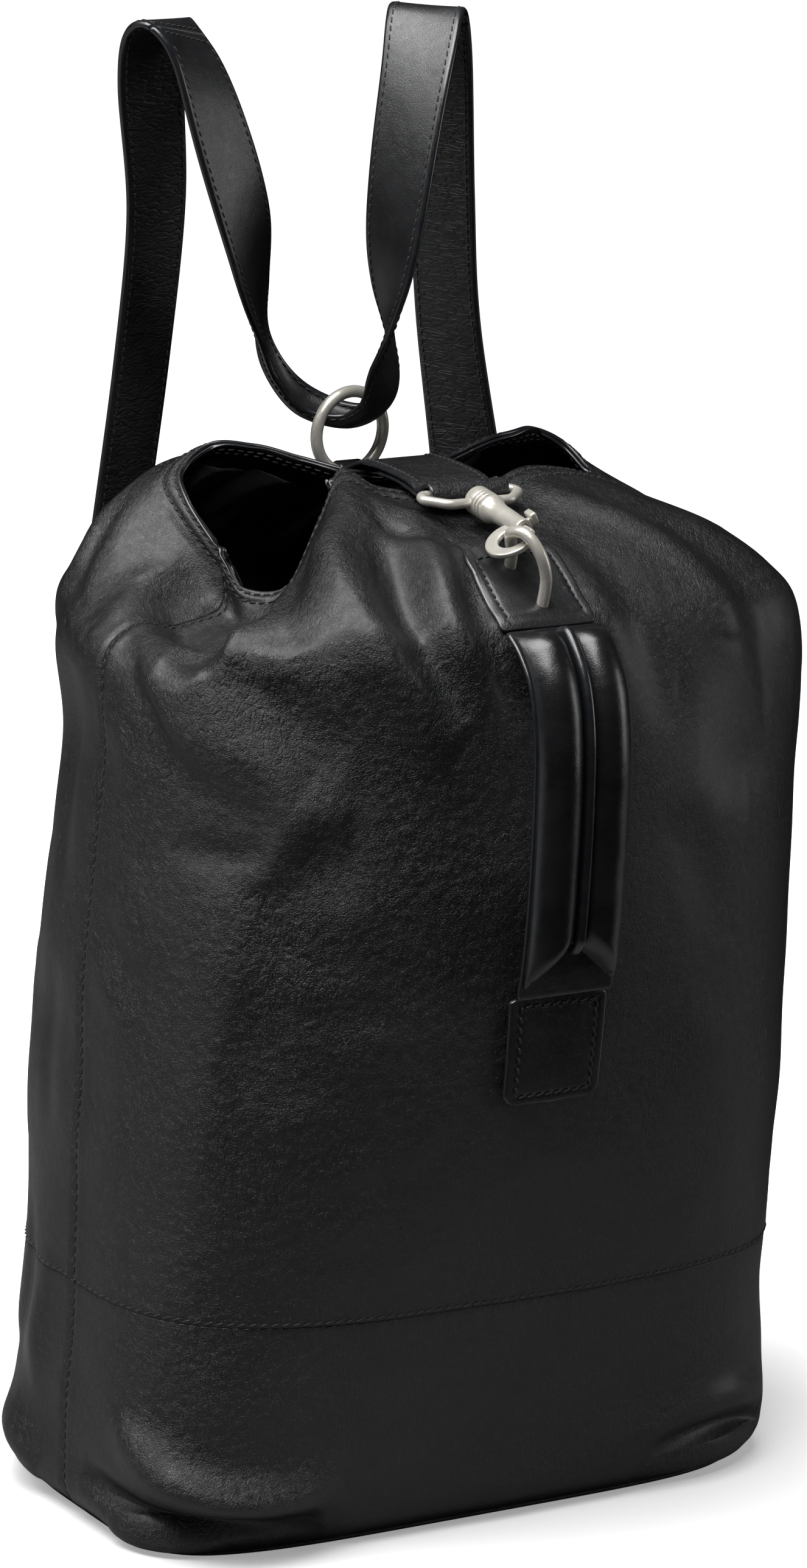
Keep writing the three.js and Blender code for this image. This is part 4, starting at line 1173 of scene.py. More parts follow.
def strap_frames(u):
    tangent = strap_tangent(u)
    across = np.stack([np.interp(u, STRAP_GRID, STRAP_ACROSS[:, k]) for k in range(3)], -1)
    across = unit(across - tangent * np.sum(across * tangent, -1, keepdims=True))
    return route_value(STRAP_AT, u), across, np.cross(across, tangent), np.interp(u, STRAP_GRID, STRAP_WIDTHS)


BENDS = np.linspace(0.02, 1.9, 60)
BEND_RATIOS = np.sin(BENDS) / BENDS
CUP_DEPTH = 0.6


def cupped(share, width):
    """Across and depth of a strap bent into an arc, so that it keeps its length when narrow."""
    flat = share * STRAP_WIDTH
    bend = np.interp(width / STRAP_WIDTH, BEND_RATIOS[::-1], BENDS[::-1])
    radius = STRAP_WIDTH / (2 * bend)
    angle = flat / radius
    squeeze = np.minimum(1.0, width / (2 * radius * np.sin(np.minimum(bend, math.pi / 2))))
    return radius * np.sin(angle) * squeeze, radius * (1 - np.cos(angle)) * CUP_DEPTH


def strap_surface(u, share, height):
    """Points of the strap: route coordinate, place across from -0.5 to 0.5, and height."""
    point, across, normal, width = strap_frames(u)
    x, depth = cupped(share, width)
    h = 0.02
    x1, d1 = cupped(share + h, width)
    x0, d0 = cupped(share - h, width)
    slope = unit(np.stack([x1 - x0, d1 - d0], -1))
    lift_x = slope[..., 1] * height
    lift_n = slope[..., 0] * height
    return (
        point
        + across * (x + lift_x)[..., None]
        + normal * (lift_n - depth)[..., None]
    ), unit(across * slope[..., 1:2] + normal * slope[..., 0:1])


def strap_profile():
    """The strap's cross-section: a softly crowned face each side and rounded painted edges."""
    half = 0.5
    shares = []
    heights = []
    kinds = []
    corner = STRAP_THICK / 2 / STRAP_WIDTH
    faces = np.linspace(-half + corner, half - corner, 19)
    for x in faces:
        shares.append(x)
        heights.append(STRAP_THICK / 2 * (1 + 0.02 * math.cos(2 * math.pi * x)))
        kinds.append(0)
    for k in range(1, 6):
        angle = math.pi / 2 - math.pi * k / 6
        shares.append(half - corner + corner * math.cos(angle))
        heights.append(STRAP_THICK / 2 * math.sin(angle))
        kinds.append(2)
    for x in faces[::-1]:
        shares.append(x)
        heights.append(-STRAP_THICK / 2)
        kinds.append(1)
    for k in range(1, 6):
        angle = -math.pi / 2 - math.pi * k / 6
        shares.append(-half + corner + corner * math.cos(angle))
        heights.append(STRAP_THICK / 2 * math.sin(angle))
        kinds.append(2)
    return np.array(shares), np.array(heights), kinds


def strap_piece(name, node, start, end, steps, outer_sign, lean0=0.0, lean1=0.0):
    """A length of strap. `outer_sign` is the side of its smooth face, or 0 when both sides are
    smooth, and the leans slant its ends."""
    shares, heights, kinds = strap_profile()
    u = np.linspace(start, end, steps)
    grid_u = u[:, None] + 0 * shares[None, :]
    fade0 = np.clip(1 - (grid_u - start) / 0.6, 0, 1)
    fade1 = np.clip(1 - (end - grid_u) / 0.6, 0, 1)
    grid_u = grid_u + shares[None, :] * (lean0 * fade0 + lean1 * fade1)
    grid_u = np.clip(grid_u, 0, STRAP_LAST)
    points, _ = strap_surface(grid_u, shares[None, :] + 0 * grid_u, heights[None, :] + 0 * grid_u)
    count = len(shares)
    verts = points.reshape(-1, 3)
    faces = []
    picked = []
    for i in range(steps - 1):
        for j in range(count):
            k = (j + 1) % count
            faces.append((i * count + j, i * count + k, (i + 1) * count + k, (i + 1) * count + j))
            kind = 2 if kinds[j] == 2 or kinds[k] == 2 else kinds[j]
            rough = outer_sign and kind == (1 if outer_sign > 0 else 0)
            picked.append(2 if kind == 2 else int(bool(rough)))
    faces.append(tuple(range(count)))
    faces.append(tuple((steps - 1) * count + j for j in range(count - 1, -1, -1)))
    picked += [2, 2]
    add_piece(
        name, verts, faces, [STRAP_MAT, BACK_MAT, EDGE_MAT], (node,),
        face_materials=picked,
    )
    for edge in (-1, 1):
        for face in (-1, 1):
            line_u = np.linspace(start + 0.08, end - 0.08, steps * 3)
            share = edge * (0.5 - 3.2 / STRAP_WIDTH)
            line, normal = strap_surface(line_u, np.full_like(line_u, share), np.full_like(line_u, face * (STRAP_THICK / 2 + 0.02)))
            stitch(line, normal * face, pitch=4.2, length=3.2, radius=0.38)


SPLICE_LEAN = 0.55
SPLICE_GAP = 0.004
strap_piece("strap_left_leather", "strap_left", 0.0, SPLICES[0] - SPLICE_GAP, 190, -1, 0.0, SPLICE_LEAN)
strap_piece(
    "strap_middle_leather", "strap_middle", SPLICES[0] + SPLICE_GAP, SPLICES[1] - SPLICE_GAP, 330, 0,
    SPLICE_LEAN, SPLICE_LEAN,
)
strap_piece("strap_right_leather", "strap_right", SPLICES[1] + SPLICE_GAP, float(STRAP_LAST), 190, -1, SPLICE_LEAN, 0.0)
for splice in SPLICES:
    for away in (-0.12, 0.12):
        share = np.linspace(-0.42, 0.42, 40)
        for face in (-1, 1):
            line_u = splice + away + share * SPLICE_LEAN
            line, normal = strap_surface(line_u, share, np.full(40, face * (STRAP_THICK / 2 + 0.02)))
            stitch(line, normal * face, pitch=3.6, length=2.7, radius=0.38)


# ---------------------------------------------------------------- pieces sewn on the body
def on_body(x, z, side):
    """Angle and ring coordinate where the smooth body crosses each x and z, front or rear."""
    x = np.asarray(x, float)
    z = np.asarray(z, float)
    phi = np.where(side < 0, -1, 1) * np.arccos(np.clip(x / 172, -0.99, 0.99))
    ring = np.interp(z, [r[3] for r in LOWER_RINGS] + [405, 423, 437, 446, 453], np.arange(RING_COUNT))
    h = 1e-3
    for _ in range(12):
        here = smooth_body(phi, ring)
        dp = (smooth_body(phi + h, ring) - here) / h
        dr = (smooth_body(phi, ring + h) - here) / h
        ex, ez = x - here[..., 0], z - here[..., 2]
        det = dp[..., 0] * dr[..., 2] - dr[..., 0] * dp[..., 2]
        det = np.where(np.abs(det) < 1e-6, 1e-6, det)
        step_p = (ex * dr[..., 2] - ez * dr[..., 0]) / det
        step_r = (ez * dp[..., 0] - ex * dp[..., 2]) / det
        phi = phi + np.clip(step_p, -0.15, 0.15)
        ring = np.clip(ring + np.clip(step_r, -0.6, 0.6), 0, RIM - 1e-3)
    return phi, ring


def patch_grid(width, low, high, corner_low, corner_high, middle, rows=54):
    """Places (x, z) over a rectangle whose lower and upper corners are rounded."""
    z = np.unique(
        np.concatenate(
            [
                low + (high - low) * spread(rows, 0.1, 10),
                [low, high],
            ]
        )
    )
    half = np.full_like(z, width / 2)
    for distance, radius in ((z - low, corner_low), (high - z, corner_high)):
        near = distance < radius
        inset = radius - np.sqrt(np.clip(radius**2 - (radius - distance) ** 2, 0, None))
        half = np.where(near, width / 2 - inset, half)
    a = 2 * spread(50, 0.1, 9) - 1
    return middle + half[:, None] * a[None, :], np.repeat(z[:, None], len(a), 1)


def sewn_patch(name, node, width, low, high, lift, thick, corners, side, middle=0.0, crown=0.3, groove_in=3.4):
    x, z = patch_grid(width, low, high, corners[0], corners[1], middle)
    phi, ring = on_body(x, z, side)
    base, normal = body_point(phi, ring, 0.0)
    across = (x - middle) / np.maximum(np.abs(x[:, -1:] - middle), 1e-6)
    along = (2 * z - low - high) / (high - low)
    to_edge = np.minimum((1 - np.abs(across)) * width / 2, np.minimum(z - low, high - z))
    groove = 0.35 * np.exp(-(((to_edge - groove_in) / 0.9) ** 2))
    puff = crown * (1 - across**4) * (1 - along**4) - groove
    outer = base + normal * (lift + thick + puff)[..., None]
    inner = base + normal * lift
    verts, faces, kinds = shell(outer, inner, steps=5)
    add_piece(
        name, verts, faces, [STRAP_MAT, EDGE_MAT], (node,),
        face_materials=[1 if k == 2 else 0 for k in kinds],
    )


def patch_stitches(points, lift, side, **settings):
    """A stitched line through (x, z) corners on a sewn patch."""
    line = even(np.array([(x, 0, z) for x, z in points], float), 1.0)
    phi, ring = on_body(line[:, 0], line[:, 2], side)
    base, normal = body_point(phi, ring, 0.0)
    stitch(base + normal * lift, normal, **settings)


ANCHOR_X = 104.0
for name, sign in (("left", -1), ("right", 1)):
    sewn_patch(f"anchor_{name}_patch", f"strap_anchor_{name}", 44, 14, 62, 0.2, 1.9, (3, 6), 1, sign * ANCHOR_X)
    x = sign * ANCHOR_X
    patch_stitches(
        [(x - 19, 17), (x - 19, 59), (x + 19, 59), (x + 19, 17), (x - 19, 17)], 2.3, 1, pitch=4.0, length=3.0,
    )

PATCH_LOW, PATCH_HIGH = 413.5, 439.5
TAB_LOW, TAB_HIGH = 208.0, 255.5
sewn_patch("handle_patch", "handle_top_patch", 45, PATCH_LOW, PATCH_HIGH, 0.3, 1.9, (1.5, 4), -1)
for x in (-19, 19):
    patch_stitches([(x, PATCH_LOW + 1), (x, PATCH_HIGH - 3)], 2.4, -1, pitch=3.9, length=2.9, radius=0.42)
patch_stitches([(-18, PATCH_HIGH - 3), (18, PATCH_HIGH - 3)], 2.4, -1, pitch=3.9, length=2.9, radius=0.42)

sewn_patch("handle_tab", "handle_lower_tab", 46, TAB_LOW, TAB_HIGH, 0.2, 3.2, (5, 2), -1, crown=0.5)
patch_stitches(
    [(-19, TAB_LOW + 3.6), (-19, TAB_HIGH - 3.2), (19, TAB_HIGH - 3.2), (19, TAB_LOW + 3.6), (-19, TAB_LOW + 3.6)],
    3.75, -1, pitch=4.6, length=3.2, radius=0.5, slant=0.3,
)


# ---------------------------------------------------------------- grab handle
HANDLE_LINE = [
    (-106.5, 412.5), (-116, 406), (-126, 393), (-131.5, 372), (-133, 345),
    (-133, 318), (-132, 292), (-130, 272), (-127.4, 258),
]
HANDLE_BACK = 2.2
LOBE_HIGH = 9.6
WELT_WIDTH = 4.6
WELT_HIGH = 8.2
LOBE_TOP, LOBE_SPLIT, LOBE_FOOT = 0.02, 0.865, 0.965
handle_curve = catmull([(0, y, z) for y, z in HANDLE_LINE], 40)
handle_length = np.concatenate([[0], np.cumsum(np.linalg.norm(np.diff(handle_curve, axis=0), axis=1))])
HANDLE_TOTAL = handle_length[-1]


def handle_surface(t, x, height):
    """Points above the handle's back face: t from 0 at the top to 1, x across, height in mm."""
    t, x, height = np.broadcast_arrays(np.asarray(t, float), x, height)
    where = t * HANDLE_TOTAL
    point = np.stack([np.interp(where, handle_length, handle_curve[:, k]) for k in range(3)], -1)
    ahead = np.stack([np.interp(where + 1.5, handle_length, handle_curve[:, k]) for k in range(3)], -1)
    behind = np.stack([np.interp(where - 1.5, handle_length, handle_curve[:, k]) for k in range(3)], -1)
    tangent = unit(ahead - behind)
    out = np.stack([np.zeros_like(t), tangent[..., 2], -tangent[..., 1]], -1)
    return point + out * height[..., None] + np.stack([x, 0 * x, 0 * x], -1), out


def handle_backing():
    t = spread(150, 0.05, 6)
    half = HANDLE_WIDTH / 2
    x = np.linspace(-half, half, 25)
    tt, xx = np.meshgrid(t, x, indexing="ij")
    outer, _ = handle_surface(tt, xx, HANDLE_BACK)
    inner, _ = handle_surface(tt, xx, 0.0)
    verts, faces, kinds = shell(outer, inner, steps=5)
    add_piece(
        "handle_strip", verts, faces, [HANDLE_MAT, EDGE_MAT], ("handle_backing",),
        face_materials=[1 if k == 2 else 0 for k in kinds],
    )


def lobe_height(a, v):
    """Height of a padded lobe: a from 0 beside the welt to 1 outside, v from 0 at the top to 1."""
    round_it = np.sin(np.pi * np.clip(0.04 + 0.92 * a, 0, 1)) ** 0.55
    lean = 1.0 + 0.16 * (0.5 - a)
    start = np.clip(v / 0.075, 0, 1)
    finish = np.clip((1 - v) / 0.085, 0, 1)
    fade = np.sin(start * math.pi / 2) ** 0.8 * np.sin(finish * math.pi / 2) ** 0.75
    soft = 1 + 0.035 * np.sin(v * 23 + a * 2.1) * np.sin(v * 9 + 1.3)
    return 1.3 + (LOBE_HIGH - 1.3) * round_it * lean * fade * soft


def handle_lobe(name, node, sign):
    v = spread(170, 0.1, 16)
    a = 0.5 - 0.5 * np.cos(np.linspace(0, math.pi, 34))
    vv, aa = np.meshgrid(v, a, indexing="ij")
    foot = LOBE_SPLIT + (LOBE_FOOT - LOBE_SPLIT) * aa
    t = LOBE_TOP + (foot - LOBE_TOP) * vv
    near = WELT_WIDTH / 2 + 0.25
    far = HANDLE_WIDTH / 2 - 0.9
    x = sign * (near + (far - near) * aa)
    outer, _ = handle_surface(t, x, HANDLE_BACK + 0.15 + lobe_height(aa, vv))
    inner, _ = handle_surface(t, x, HANDLE_BACK + 0.15)
    verts, faces, kinds = shell(outer, inner, steps=3)
    piece = add_piece(
        name, verts, faces, [HANDLE_MAT, EDGE_MAT], (node,),
        face_materials=[1 if k == 2 else 0 for k in kinds],
    )
    share = np.linspace(0.06, 0.97, 60)
    end_t = LOBE_SPLIT + (LOBE_FOOT - LOBE_SPLIT) * share - 0.0125
    line, normal = handle_surface(end_t, sign * (near + (far - near) * share), HANDLE_BACK + 3.0)
    stitch(line, normal, pitch=3.9, length=2.9, radius=0.42)
    line, normal = handle_surface(np.full(60, LOBE_TOP + 0.012), sign * (near + (far - near) * share), HANDLE_BACK + 2.9)
    stitch(line, normal, pitch=3.9, length=2.9, radius=0.42)
    run = np.linspace(LOBE_TOP + 0.03, LOBE_SPLIT - 0.01, 300)
    line, normal = handle_surface(run, np.full(300, sign * (near + 0.75)), HANDLE_BACK + 4.3)
    lean = unit(normal + np.array([-sign * 0.8, 0, 0]))
    stitch(line, lean, pitch=3.7, length=2.9, radius=0.46, slant=0.25)


def handle_welt():
    t = LOBE_TOP + (LOBE_SPLIT + 0.012 - LOBE_TOP) * spread(150, 0.05, 8)
    x = WELT_WIDTH / 2 * np.sin(np.linspace(-math.pi / 2, math.pi / 2, 15))
    tt, xx = np.meshgrid(t, x, indexing="ij")
    crown = np.sqrt(np.clip(1 - (xx / (WELT_WIDTH / 2)) ** 2, 0, 1))
    top = np.clip((tt - LOBE_TOP) / 0.03, 0, 1)
    foot = np.clip((LOBE_SPLIT + 0.012 - tt) / 0.05, 0, 1)
    fade = np.sin(top * math.pi / 2) * np.sin(foot * math.pi / 2)
    height = HANDLE_BACK + 0.15 + 2.2 + (WELT_HIGH - 4.4) * fade + 2.0 * crown
    outer, _ = handle_surface(tt, xx, height)
    inner, _ = handle_surface(tt, xx, HANDLE_BACK + 0.15)
    verts, faces, _ = shell(outer, inner, (False, False, False, False), steps=3)
    add_piece("handle_piping", verts, faces, EDGE_MAT, ("handle_welt",))


handle_backing()
handle_lobe("handle_pad_left", "handle_left_lobe", -1)
handle_lobe("handle_pad_right", "handle_right_lobe", 1)
handle_welt()


# ---------------------------------------------------------------- ribbons in the middle plane
def ribbon_yz(line, width, thick, per_span=10, bulge=0.0):
    """Grids of a flat strap across X whose middle line lies in the YZ plane."""
    curve = catmull([(0, y, z) for y, z in line], per_span)
    tangent = unit(np.gradient(curve, axis=0))
    normal = np.stack([0 * tangent[:, 0], -tangent[:, 2], tangent[:, 1]], -1)
    x = width / 2 * np.linspace(-1, 1, 27)
    crown = bulge * (1 - (x / (width / 2)) ** 4)
    side = np.stack([x, 0 * x, 0 * x], -1)
    outer = curve[:, None] + side[None] + normal[:, None] * (thick / 2 + crown)[None, :, None]
    inner = curve[:, None] + side[None] - normal[:, None] * (thick / 2)
    return outer, inner, curve, normal


def arc_yz(centre, radius, start, end, count):
    angles = np.linspace(start, end, count + 1)
    return [(centre[0] + radius * math.cos(a), centre[1] + radius * math.sin(a)) for a in angles]


def rear_line(ring, offset):
    point, _ = body_point(np.array([math.pi / 2]), np.array([float(ring)]), offset)
    return (point[0, 1], point[0, 2])


EYE_BAR = (
    SNAP_ORIGIN[1] + EYE_DEPTH * math.cos(SNAP_SLOPE),
    SNAP_ORIGIN[2] + EYE_DEPTH * math.sin(SNAP_SLOPE),
)
FOLD_RADIUS = EYE_WIRE + 0.5 + CLOSURE_PLY / 2
fold_top = EYE_BAR[1] + FOLD_RADIUS
closure_offset = 1.1 + CLOSURE_PLY / 2
CLOSURE_LINE = [
    *[rear_line(ring, closure_offset) for ring in (7.3, 8.0, 8.6, 9.2, 9.8, 10.3)],
    (27, 460.0),
    (18, 461.2),
    (2, fold_top + 0.1),
    (EYE_BAR[0] + 17, fold_top - 0.9),
    (EYE_BAR[0] + 9.5, fold_top - 2.9),
    (EYE_BAR[0] + 6.4, fold_top - 2.7),
    (EYE_BAR[0] + 3.9, fold_top - 0.7),
    *arc_yz(EYE_BAR, FOLD_RADIUS + 0.7, math.pi / 2, math.pi * 1.5, 12),
    (EYE_BAR[0] + 4, EYE_BAR[1] - FOLD_RADIUS + 0.9),
    (EYE_BAR[0] + 9, fold_top - CLOSURE_PLY - 3.2),
    (EYE_BAR[0] + 17, fold_top - CLOSURE_PLY - 1.6),
    (-2, fold_top - CLOSURE_PLY - 0.5),
    (10, fold_top - CLOSURE_PLY - 0.6),
]
outer, inner, curve, normal = ribbon_yz(CLOSURE_LINE, CLOSURE_WIDTH, CLOSURE_PLY, 8)
verts, faces, kinds = shell(outer, inner, steps=4)
add_piece(
    "closure_leather", verts, faces, [LEATHER_MAT, EDGE_MAT], ("closure_strap",),
    face_materials=[1 if k == 2 else 0 for k in kinds],
)
end_run = np.argmax(curve[:, 1] < EYE_BAR[0] - 2)
for x in (-CLOSURE_WIDTH / 2 + 3, CLOSURE_WIDTH / 2 - 3):
    line = curve[10:end_run] + np.array([x, 0, 0]) - normal[10:end_run] * (CLOSURE_PLY / 2 + 0.05)
    stitch(line, -normal[10:end_run], pitch=3.7, length=2.8, radius=0.5)
i = int(np.argmin(np.abs(curve[:end_run, 1] + 20.5)))
x = np.linspace(-CLOSURE_WIDTH / 2 + 3.5, CLOSURE_WIDTH / 2 - 3.5, 30)
line = curve[i] + np.stack([x, 0 * x, 0 * x], -1) - normal[i] * (CLOSURE_PLY / 2 + 0.05)
stitch(line, -normal[i], pitch=3.7, length=2.8, radius=0.5)

LOOP_PLY = 1.6
loop_radius = RING_WIRE + 1.3 + LOOP_PLY / 2
tail_offset = closure_offset + CLOSURE_PLY / 2 + 0.3 + LOOP_PLY / 2
LOOP_LINE = [
    rear_line(8.0, tail_offset),
    rear_line(8.6, tail_offset),
    rear_line(9.1, tail_offset + 0.2),
    *arc_yz((RING_FOOT[1], RING_FOOT[2]), loop_radius, -0.3, math.pi * 0.9, 12),
]
outer, inner, _, _ = ribbon_yz(LOOP_LINE, 11, LOOP_PLY, 8)
verts, faces, kinds = shell(outer, inner, steps=4)
add_piece(
    "ring_loop_leather", verts, faces, [STRAP_MAT, EDGE_MAT], ("rear_ring_loop",),
    face_materials=[1 if k == 2 else 0 for k in kinds],
)


# ---------------------------------------------------------------- metal
angles = np.arange(120) * 2 * math.pi / 120
loop = np.stack([RING_RADIUS * np.cos(angles), 0 * angles, RING_RADIUS * (1 + np.sin(angles))], -1)
turned = loop.copy()
turned[:, 0] = loop[:, 0] * math.cos(RING_TURN)
turned[:, 1] = loop[:, 0] * math.sin(RING_TURN)
verts, faces = tube_mesh(turned + np.array(RING_FOOT), RING_WIRE, 28, closed=True)
add_piece("rear_ring_wire", verts, faces, NICKEL_MAT, ("rear_o_ring",), body="rear_ring")

FRONT_RING_PATH = [
    (1, -94.6, 419.6), (1, -95.2, 421.6), (0.5, -98, 434), (-3, -97.6, 445), (-7, -91.8, 452.6),
    (-9, -84.4, 452), (-6.9, -80.2, 447.5), (-4.6, -78, 441.5), (-3.5, -75.2, 434.2),
]
verts, faces = tube_mesh(catmull(FRONT_RING_PATH, 14), FRONT_WIRE, 28)
add_piece("front_ring_wire", verts, faces, NICKEL_MAT, ("front_ring",))

snap_forward = np.array([0, -math.cos(SNAP_SLOPE), -math.sin(SNAP_SLOPE)])
snap_side = np.array([1.0, 0, 0])
snap_up = np.cross(snap_forward, snap_side)


def snap_place(verts, roll=0.0):
    """Local X along the barrel, Y across and Z away from the bag, moved into the frame."""
    v = np.asarray(verts, float)
    y = v[:, 1] * math.cos(roll) - v[:, 2] * math.sin(roll)
    z = v[:, 1] * math.sin(roll) + v[:, 2] * math.cos(roll)
    return (
        np.array(SNAP_ORIGIN)
        + v[:, :1] * snap_forward
        + y[:, None] * snap_side
        + z[:, None] * snap_up
    )


def rounded_path(corners, radius, steps=8, closed=True):
    """Straight runs joined by arcs."""
    corners = np.asarray(corners, float)
    count = len(corners)
    out = []
    for i in range(count):
        here = corners[i]
        back = corners[i - 1] - here
        on = corners[(i + 1) % count] - here
        cut = min(radius, 0.45 * np.linalg.norm(back), 0.45 * np.linalg.norm(on))
        a = here + unit(back) * cut
        b = here + unit(on) * cut
        for t in np.linspace(0, 1, steps):
            out.append((1 - t) ** 2 * a + 2 * t * (1 - t) * here + t * t * b)
    return np.array(out)


w, d = EYE_HALF_WIDTH, EYE_DEPTH
eye_corners = [
    (-d, -w + 2, 0), (-d + 2.5, -w, 0), (-7.5, -w, 0), (0, -w + 8.5, 0),
    (0, w - 8.5, 0), (-7.5, w, 0), (-d + 2.5, w, 0), (-d, w - 2, 0),
]
eye_line = rounded_path(eye_corners, 2.6)
eye_line = even(np.vstack([eye_line, eye_line[:1]]), 1.0)[:-1]
eye_tube = tube_mesh(eye_line, EYE_WIRE, 22, closed=True)
BOSS = [
    (-3.3, 2.4), (-3.6, 2.8), (-3.6, 5.8), (-3.3, 6.25), (-2.9, 6.4), (2.0, 6.4), (2.4, 6.25),
    (2.6, 5.8), (2.6, 2.8), (2.3, 2.4), (0, 2.3), (-3.3, 2.4),
]
boss_v, boss_f = lathe_mesh(BOSS, 48)
boss_f = boss_f[:-2]
verts, faces = joined([eye_tube, (boss_v, boss_f)])
eye_piece = add_piece("snap_eye_wire", snap_place(verts), faces, NICKEL_MAT, ("snap_eye",), body="eye")
clean = bmesh.new()
clean.from_mesh(eye_piece.data)
bmesh.ops.remove_doubles(clean, verts=clean.verts, dist=1e-7)
bmesh.ops.recalc_face_normals(clean, faces=clean.faces)
clean.to_mesh(eye_piece.data)
clean.free()

BARREL = [
    (-5.6, 0.01), (-5.6, 2.6), (-5.3, 3.2), (-4.9, 3.4), (-4.1, 3.4), (-3.95, 3.2), (-3.95, 2.0),
    (2.9, 2.0), (2.9, 5.2), (3.05, 5.9), (3.4, 6.3), (3.9, 6.45), (4.4, 6.3), (4.75, 5.9), (4.9, 4.9),
    (5.45, 4.9), (5.6, 5.9), (5.95, 6.3), (6.45, 6.45), (6.95, 6.3), (7.3, 5.9), (7.45, 4.9),
    (8.0, 4.9), (8.15, 5.9), (8.5, 6.35), (9.1, 6.5), (9.9, 6.4), (10.5, 6.1), (12.0, 5.5),
    (13.8, 4.95), (17.0, 4.6),
    (26.0, 4.4), (33.6, 4.15), (34.4, 4.35), (35.4, 4.4), (35.9, 4.15), (BARREL_END, 3.7),
    (BARREL_END, 2.5), (35.4, 2.35), (30.0, 2.32), (12.2, 2.32), (12.0, 2.0), (12.0, 0.01),
]
barrel_v, barrel_f = lathe_mesh(BARREL, 56)

HOOK_CENTRE = (37.0, -8.0)
HOOK_RADIUS = 11.5
HOLE_CENTRE = (37.6, -7.6)
HOLE_RADIUS = 6.3
HOOK_THICK = 2.6
HOOK_SQUARE = 0.42  # the smaller, the flatter the faces of the hook


def crescent():
    """The flat hook: an open ring with softly rounded edges and a blunt rounded nose."""
    total = 90
    sides = 28
    rows = []
    for i in range(total):
        share = i / (total - 1)
        outer_angle = math.radians(152 + 255 * share)
        hole_angle = math.radians(130 + 277 * share)
        outer = np.array(HOOK_CENTRE) + HOOK_RADIUS * np.array([math.cos(outer_angle), math.sin(outer_angle)])
        hole = np.array(HOLE_CENTRE) + HOLE_RADIUS * np.array([math.cos(hole_angle), math.sin(hole_angle)])
        nose = min(1.0, (total - 1 - i) / 5)
        shrink = math.sqrt(max(0.0, 1 - (1 - nose) ** 2)) * 0.75 + 0.25
        centre = (outer + hole) / 2
        half = (outer - hole) / 2 * shrink
        row = []
        for k in range(sides):
            angle = 2 * math.pi * k / sides
            c, s = math.cos(angle), math.sin(angle)
            flat = math.copysign(abs(c) ** HOOK_SQUARE, c)
            rise = math.copysign(abs(s) ** HOOK_SQUARE, s) * HOOK_THICK / 2 * (0.7 + 0.3 * shrink)
            row.append((*(centre + half * flat), rise))
        rows.append(row)
    faces = []
    for i in range(total - 1):
        for j in range(sides):
            k = (j + 1) % sides
            faces.append((i * sides + j, i * sides + k, (i + 1) * sides + k, (i + 1) * sides + j))
    faces.append(tuple(range(sides)))
    faces.append(tuple((total - 1) * sides + j for j in range(sides - 1, -1, -1)))
    return np.array(rows).reshape(-1, 3), faces


def block(x0, x1, y0, y1, z0, z1, bevel=0.0, segments=3):
    """A box with rounded edges."""
    work = bmesh.new()
    bmesh.ops.create_cube(work, size=1.0)
    for vert in work.verts:
        vert.co = Vector(
            (
                (x0 + x1) / 2 + vert.co.x * (x1 - x0),
                (y0 + y1) / 2 + vert.co.y * (y1 - y0),
                (z0 + z1) / 2 + vert.co.z * (z1 - z0),
            )
        )
    if bevel:
        bmesh.ops.bevel(work, geom=list(work.edges), offset=bevel, segments=segments, profile=0.5, affect="EDGES")
    work.verts.index_update()
    verts = np.array([tuple(v.co) for v in work.verts])
    faces = [tuple(v.index for v in f.verts) for f in work.faces]
    work.free()
    return verts, faces


barrel_and_hook = joined([(barrel_v, barrel_f), crescent()])
hook_piece = add_piece(
    "snap_hook_body", snap_place(barrel_and_hook[0], HOOK_ROLL), barrel_and_hook[1], NICKEL_MAT, ("snap_hook",),
    body="hook",
)
hook_piece.data.set_sharp_from_angle(angle=math.radians(38))

BOLT = [(24.5, 0.01), (24.5, 1.7), (24.8, 2.0), (41.2, 2.0), (41.8, 1.85), (42.2, 1.4), (BOLT_TIP, 0.8), (BOLT_TIP, 0.01)]
bolt_v, bolt_f = lathe_mesh(BOLT, 36)
add_piece("snap_bolt_pin", snap_place(bolt_v, HOOK_ROLL), bolt_f, NICKEL_MAT, ("snap_bolt",), body="bolt")
stem = block(30.9, 32.9, 1.2, 6.6, -0.75, 0.75, 0.2)
thumb = block(28.4, 34.4, 5.5, 8.6, -2.8, 2.8, 0.8, 4)
knob_v, knob_f = joined([stem, thumb])
add_piece("bolt_thumb_knob", snap_place(knob_v, HOOK_ROLL), knob_f, NICKEL_MAT, ("bolt_knob",), body="bolt")

turns = np.linspace(0, 1, 260)
coil = np.stack(
    [12.8 + 11.0 * turns, 1.45 * np.cos(turns * 2 * math.pi * 8), 1.45 * np.sin(turns * 2 * math.pi * 8)], -1
)
coil_v, coil_f = tube_mesh(coil, 0.32, 8)
spring_piece = add_piece(
    "bolt_coil_spring", snap_place(coil_v, HOOK_ROLL), coil_f, NICKEL_MAT, ("bolt_spring",), body="hook",
)
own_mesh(spring_piece)

stitch_v, stitch_f = joined(STITCHES)
add_piece("stitching", stitch_v, stitch_f, THREAD_MAT)


# ---------------------------------------------------------------- floor and light
# Painted shade: to all but camera rays the floor's colour is painted dark in these directions, so it gives the leather
# little light and a dark reflection.
DARK_SIDE = (-0.1, -0.99, 0.0)
DARK_BACK = (0.74, 0.67, 0.0)


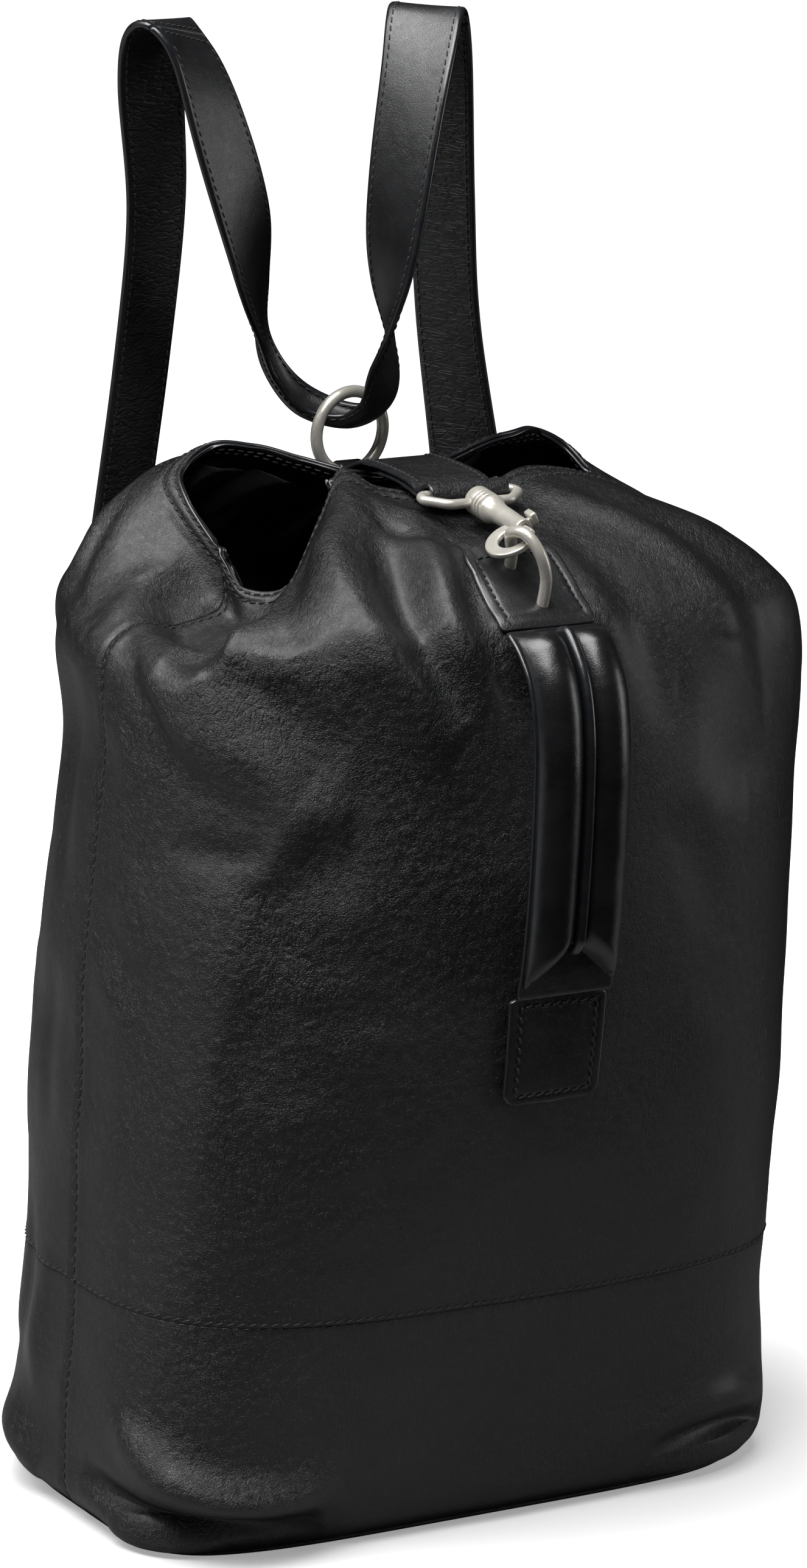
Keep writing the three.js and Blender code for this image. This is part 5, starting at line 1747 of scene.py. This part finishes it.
def stage_floor():
    mesh = bpy.data.meshes.new("floor")
    half = 14.0
    mesh.from_pydata([(-half, -half, 0), (half, -half, 0), (half, half, 0), (-half, half, 0)], [], [(0, 1, 2, 3)])
    n = Nodes("floor_paper")
    n.set(**{"Specular IOR Level": 0.0, "Roughness": 0.9})
    far = n.new("ShaderNodeVectorMath", operation="LENGTH")
    n.link(n.place, far.inputs[0])
    facing = n.new("ShaderNodeVectorMath", operation="NORMALIZE")
    n.link(n.place, facing.inputs[0])
    towards = n.new("ShaderNodeVectorMath", operation="DOT_PRODUCT")
    n.link(facing.outputs["Vector"], towards.inputs[0])
    towards.inputs[1].default_value = DARK_SIDE
    path = n.new("ShaderNodeLightPath")
    away = n.new("ShaderNodeVectorMath", operation="DOT_PRODUCT")
    n.link(facing.outputs["Vector"], away.inputs[0])
    away.inputs[1].default_value = DARK_BACK
    # Painted shade: to all but camera rays the floor is near black in the dark directions away from the bag, and
    # lighter within about 0.2 to 0.6 m of the middle or in other directions.
    aside = n.math(
        "MINIMUM",
        n.ramp(towards.outputs["Value"], 0.2, 0.64, 0.3, 0.01),
        n.ramp(away.outputs["Value"], 0.6, 0.86, 0.3, 0.01),
    )
    near = n.ramp(far.outputs["Value"], 0.2, 0.6, 0.3, 0.0)
    unseen = n.math("MAXIMUM", aside, near)
    seen = n.math("MAXIMUM", unseen, path.outputs["Is Camera Ray"])
    n.colour(n.math("MULTIPLY", seen, n.ramp(n.noise(3.0, 2.0), 0.0, 1.0, 0.98, 1.0)), (0, 0, 0), (0.88, 0.88, 0.88))
    # Painted light: to the camera the floor glows, at 0.3 near the bag and in full from 0.42 m out, so it reads white
    # past the bag's own shadow.
    glow = n.ramp(far.outputs["Value"], 0.12, 0.42, 0.3, 1.0)
    n.link(n.math("MULTIPLY", glow, path.outputs["Is Camera Ray"]), n.shader.inputs["Emission Strength"])
    n.shader.inputs["Emission Color"].default_value = (1, 1, 1, 1)
    mesh.materials.append(n.material)
    floor = bpy.data.objects.new("floor", mesh)
    floor.location.z = -0.0003
    bpy.context.scene.collection.objects.link(floor)


def area_light(name, place, aim, size, power, tint=(1, 1, 1)):
    data = bpy.data.lights.new(name, "AREA")
    data.shape = "RECTANGLE"
    data.size, data.size_y = size
    data.energy = power
    data.color = tint
    light = bpy.data.objects.new(name, data)
    light.location = place
    light.rotation_euler = (Vector(aim) - Vector(place)).to_track_quat("-Z", "Y").to_euler()
    bpy.context.scene.collection.objects.link(light)


def studio():
    world = bpy.data.worlds.new("studio")
    world.use_nodes = True
    tree = world.node_tree
    background = tree.nodes["Background"]
    path = tree.nodes.new("ShaderNodeLightPath")
    level = tree.nodes.new("ShaderNodeMapRange")
    level.inputs["To Min"].default_value = 0.012
    level.inputs["To Max"].default_value = 1.0
    tree.links.new(path.outputs["Is Camera Ray"], level.inputs["Value"])
    tree.links.new(level.outputs["Result"], background.inputs["Strength"])
    background.inputs["Color"].default_value = (1, 1, 1, 1)
    bpy.context.scene.world = world
    bpy.context.scene.view_settings.view_transform = "Standard"
    area_light("top", (-0.8, -0.35, 2.5), (0, 0, 0.3), (1.9, 1.9), 92)
    area_light("left", (-2.3, 0.9, 1.3), (0, 0, 0.3), (1.2, 2.0), 3)
    area_light("left_high", (-1.8, 0.45, 2.0), (0, 0, 0.35), (1.1, 1.1), 14)
    area_light("right", (2.3, -1.1, 0.75), (0, 0, 0.4), (0.9, 1.3), 8)


stage_floor()
studio()
